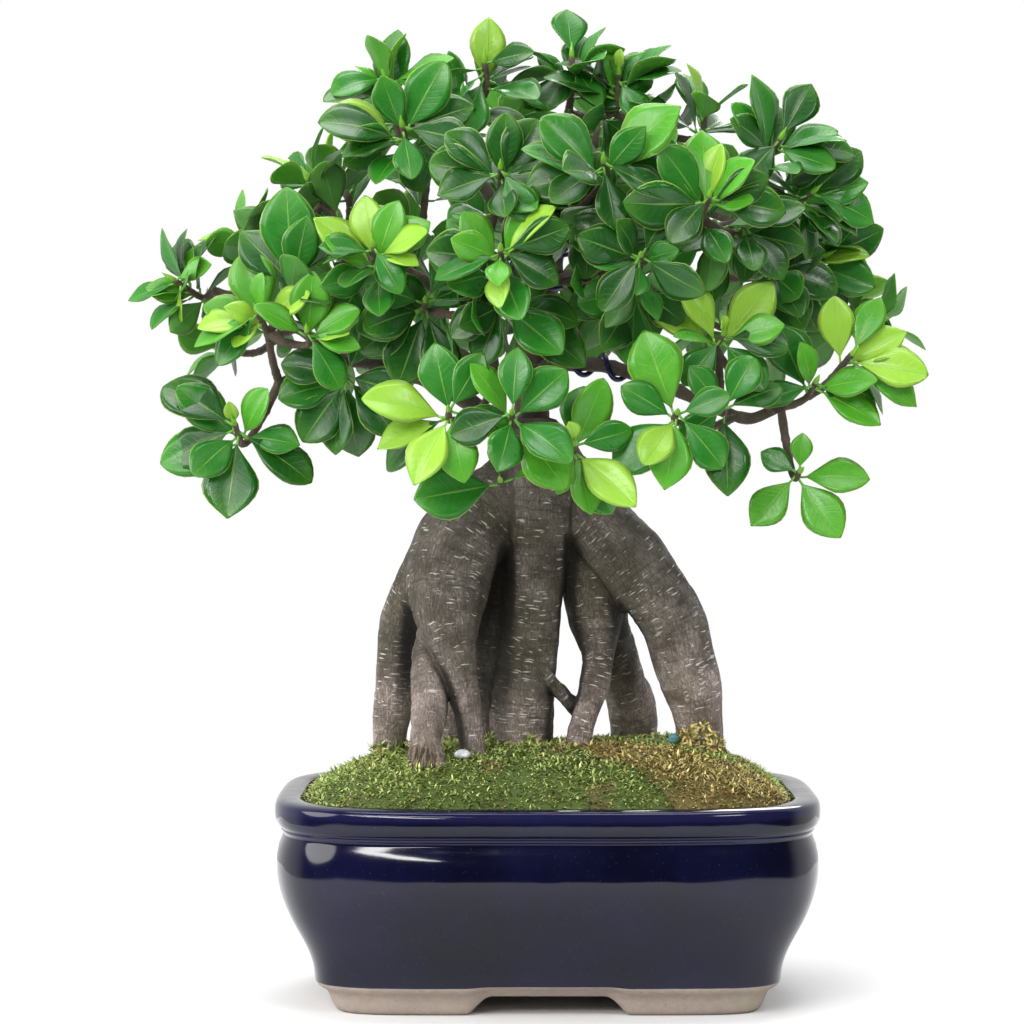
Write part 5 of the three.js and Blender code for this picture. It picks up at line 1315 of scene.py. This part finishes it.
def build_nugget(name, node, x, y, size, flatness, finish_, slot, seed):
    """A small rounded lump lying on the moss."""
    rings, sides = 14, 20
    turns = np.arange(sides) * 2 * math.pi / sides
    polar, turn = np.meshgrid(np.linspace(0.02, math.pi - 0.02, rings), turns, indexing="ij")
    wide = (np.sin(polar) * np.cos(turn)).ravel()
    deep = (np.sin(polar) * np.sin(turn)).ravel() * 0.85
    ball = np.column_stack([wide, deep, np.cos(polar).ravel() * flatness]) * size / 2
    ball *= (1 + 0.1 * lumps(ball, size * 0.45, seed))[:, None]
    low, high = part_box(node)
    z = (low.z + high.z) / 2 / MM
    shape = Shape()
    faces = [face[::-1] for face in ring_faces(rings, sides)]
    faces += [tuple(range(sides)), tuple(range((rings - 1) * sides, rings * sides))[::-1]]
    shape.add(ball + (x, y, z), faces)
    shape.piece(name, [finish_], [node], slot)


# ---- Studio ----


CAMERA_LENS = 122.8
CAMERA_BACK = 1300  # in front of the pot's middle
CAMERA_LEFT = 13  # to the left of it
CAMERA_HEIGHT = 217
CAMERA_DROP = 1.675  # degrees below level
FLOOR_SIZE = 0.86


def build_studio():
    """A camera in front, almost level, a small pale floor, and soft lights round and above the tree."""
    camera = bpy.data.objects.new("camera", bpy.data.cameras.new("camera"))
    camera.data.lens, camera.data.sensor_width = CAMERA_LENS, 36
    camera.location = (MIDDLE[0] - CAMERA_LEFT * MM, MIDDLE[1] - CAMERA_BACK * MM, CAMERA_HEIGHT * MM)
    camera.rotation_euler = (math.radians(90 - CAMERA_DROP), 0, 0)
    bpy.context.scene.collection.objects.link(camera)
    bpy.context.scene.camera = camera
    bpy.ops.mesh.primitive_plane_add(size=FLOOR_SIZE)
    floor = bpy.context.object
    floor.name = "floor"
    floor.data.materials.append(finish("pale_floor", lambda tree: {}, **{
        "Base Color": (0.74, 0.74, 0.745, 1), "Roughness": 0.9, "Specular IOR Level": 0.1}))
    for name, place, size, power, colour in LIGHTS:
        light = bpy.data.lights.new(name, "AREA")
        light.shape, light.size, light.size_y = "ELLIPSE", *size
        light.energy, light.color = power, colour
        lamp = bpy.data.objects.new(name, light)
        lamp.location = place
        lamp.rotation_euler = (Vector((0, 0, 0.2)) - lamp.location).to_track_quat("-Z", "Y").to_euler()
        bpy.context.scene.collection.objects.link(lamp)
    light_world()
    bpy.context.scene.view_settings.view_transform = "Standard"


LIGHTS = [
    ("left_upper_softbox", (-0.66, -1.36, 1.26), (1.25, 0.15), 11, (1.0, 0.99, 0.97)),
    ("left_lower_softbox", (-0.72, -1.52, 0.84), (1.2, 0.14), 12, (1.0, 0.99, 0.97)),
    ("left_side_softbox", (-1.9, -0.6, 0.8), (1.7, 1.4), 36, (1.0, 0.99, 0.97)),
    ("right_softbox", (0.88, -1.3, 1.1), (0.55, 0.4), 9, (0.98, 0.99, 1.0)),
    ("top_softbox", (0.0, 0.1, 1.5), (1.2, 1.1), 18, (1.0, 1.0, 1.0)),
    ("back_softbox", (0.3, 1.5, 1.1), (0.9, 0.7), 12, (1.0, 1.0, 1.0)),
]


def light_world():
    """White behind the object, even light on it, and a dark room in front for the glaze to mirror."""
    world = bpy.data.worlds.new("studio")
    world.use_nodes = True
    tree = world.node_tree
    tree.nodes.clear()
    path = put(tree, "LightPath").outputs
    way = put(tree, "SeparateXYZ", {"Vector": put(tree, "TexCoord").outputs["Generated"]}).outputs
    room = ramp(tree, way[1], -0.1, 0.35, 0.07, 0.85)
    unseen = maths(tree, "SUBTRACT", 1.0, path["Is Glossy Ray"])
    strength = maths(tree, "MULTIPLY_ADD", unseen, 0.64, maths(tree, "MULTIPLY", room, path["Is Glossy Ray"]))
    strength = maths(tree, "MAXIMUM", strength, path["Is Camera Ray"])
    glow = put(tree, "Background", {"Color": (1, 1, 1, 1), "Strength": strength})
    end = put(tree, "OutputWorld")
    tree.links.new(glow.outputs[0], end.inputs[0])
    bpy.context.scene.world = world


# ---- The whole ----


def main():
    bark = bark_group()
    moss = moss_group()
    twig = branch_bark("twig_bark", bark, (0.06, 0.04, 0.026, 1), (0.19, 0.135, 0.085, 1), 0.3, 0.3)
    wood = branch_bark("branch_bark", bark, (0.035, 0.025, 0.018, 1), (0.13, 0.095, 0.062, 1), 0.2, 0.42)
    green = moss_finish("green_moss", moss, (0.024, 0.036, 0.010, 1), (0.23, 0.33, 0.065, 1),
                        (0.68, 0.76, 0.28, 1), (0.38, 0.24, 0.11, 1))
    golden = moss_finish("golden_moss", moss, (0.05, 0.035, 0.014, 1), (0.34, 0.29, 0.08, 1),
                         (0.80, 0.66, 0.28, 1), (0.46, 0.25, 0.10, 1))
    build_pot(pot_finish())
    roots = build_rootstock(root_bark(bark))
    lines = build_branches(wood)
    navy = speckled("navy_wire", (0.004, 0.004, 0.03, 1), (0.012, 0.012, 0.07, 1), 700, 0.3, 0.0001, 0.5)
    build_wires(navy)
    build_shoots(leaf_finish(), twig, lines)
    for seed, (name, start, end) in enumerate(PATCHES):
        if name == "moss_golden":
            build_patch(name, start, end, golden, roots, "golden_moss", seed)
        else:
            build_patch(name, start, end, green, roots, "green_moss", seed)
    white = speckled("white_stone", (0.38, 0.40, 0.42, 1), (0.72, 0.74, 0.76, 1), 500, 0.6, 0.0003)
    build_nugget("pebble_stone", "pebble", -31, -34, 6, 0.6, white, "stone", 8)
    teal = speckled("plant_feed", (0.03, 0.13, 0.15, 1), (0.09, 0.27, 0.30, 1), 900, 0.55, 0.0003)
    build_nugget("feed_pellet_grain", "feed_pellet", 47, -4, 4, 1, teal, "feed", 9)
    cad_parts["soil"].material_slots[0].material = soil_finish()
    mesh_plastic = speckled("mesh_plastic", (0.01, 0.01, 0.01, 1), (0.03, 0.03, 0.03, 1), 800, 0.5, 0.0002)
    for side in ("left", "right"):
        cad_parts["drain_screen_" + side].material_slots[0].material = mesh_plastic
    build_studio()


main()
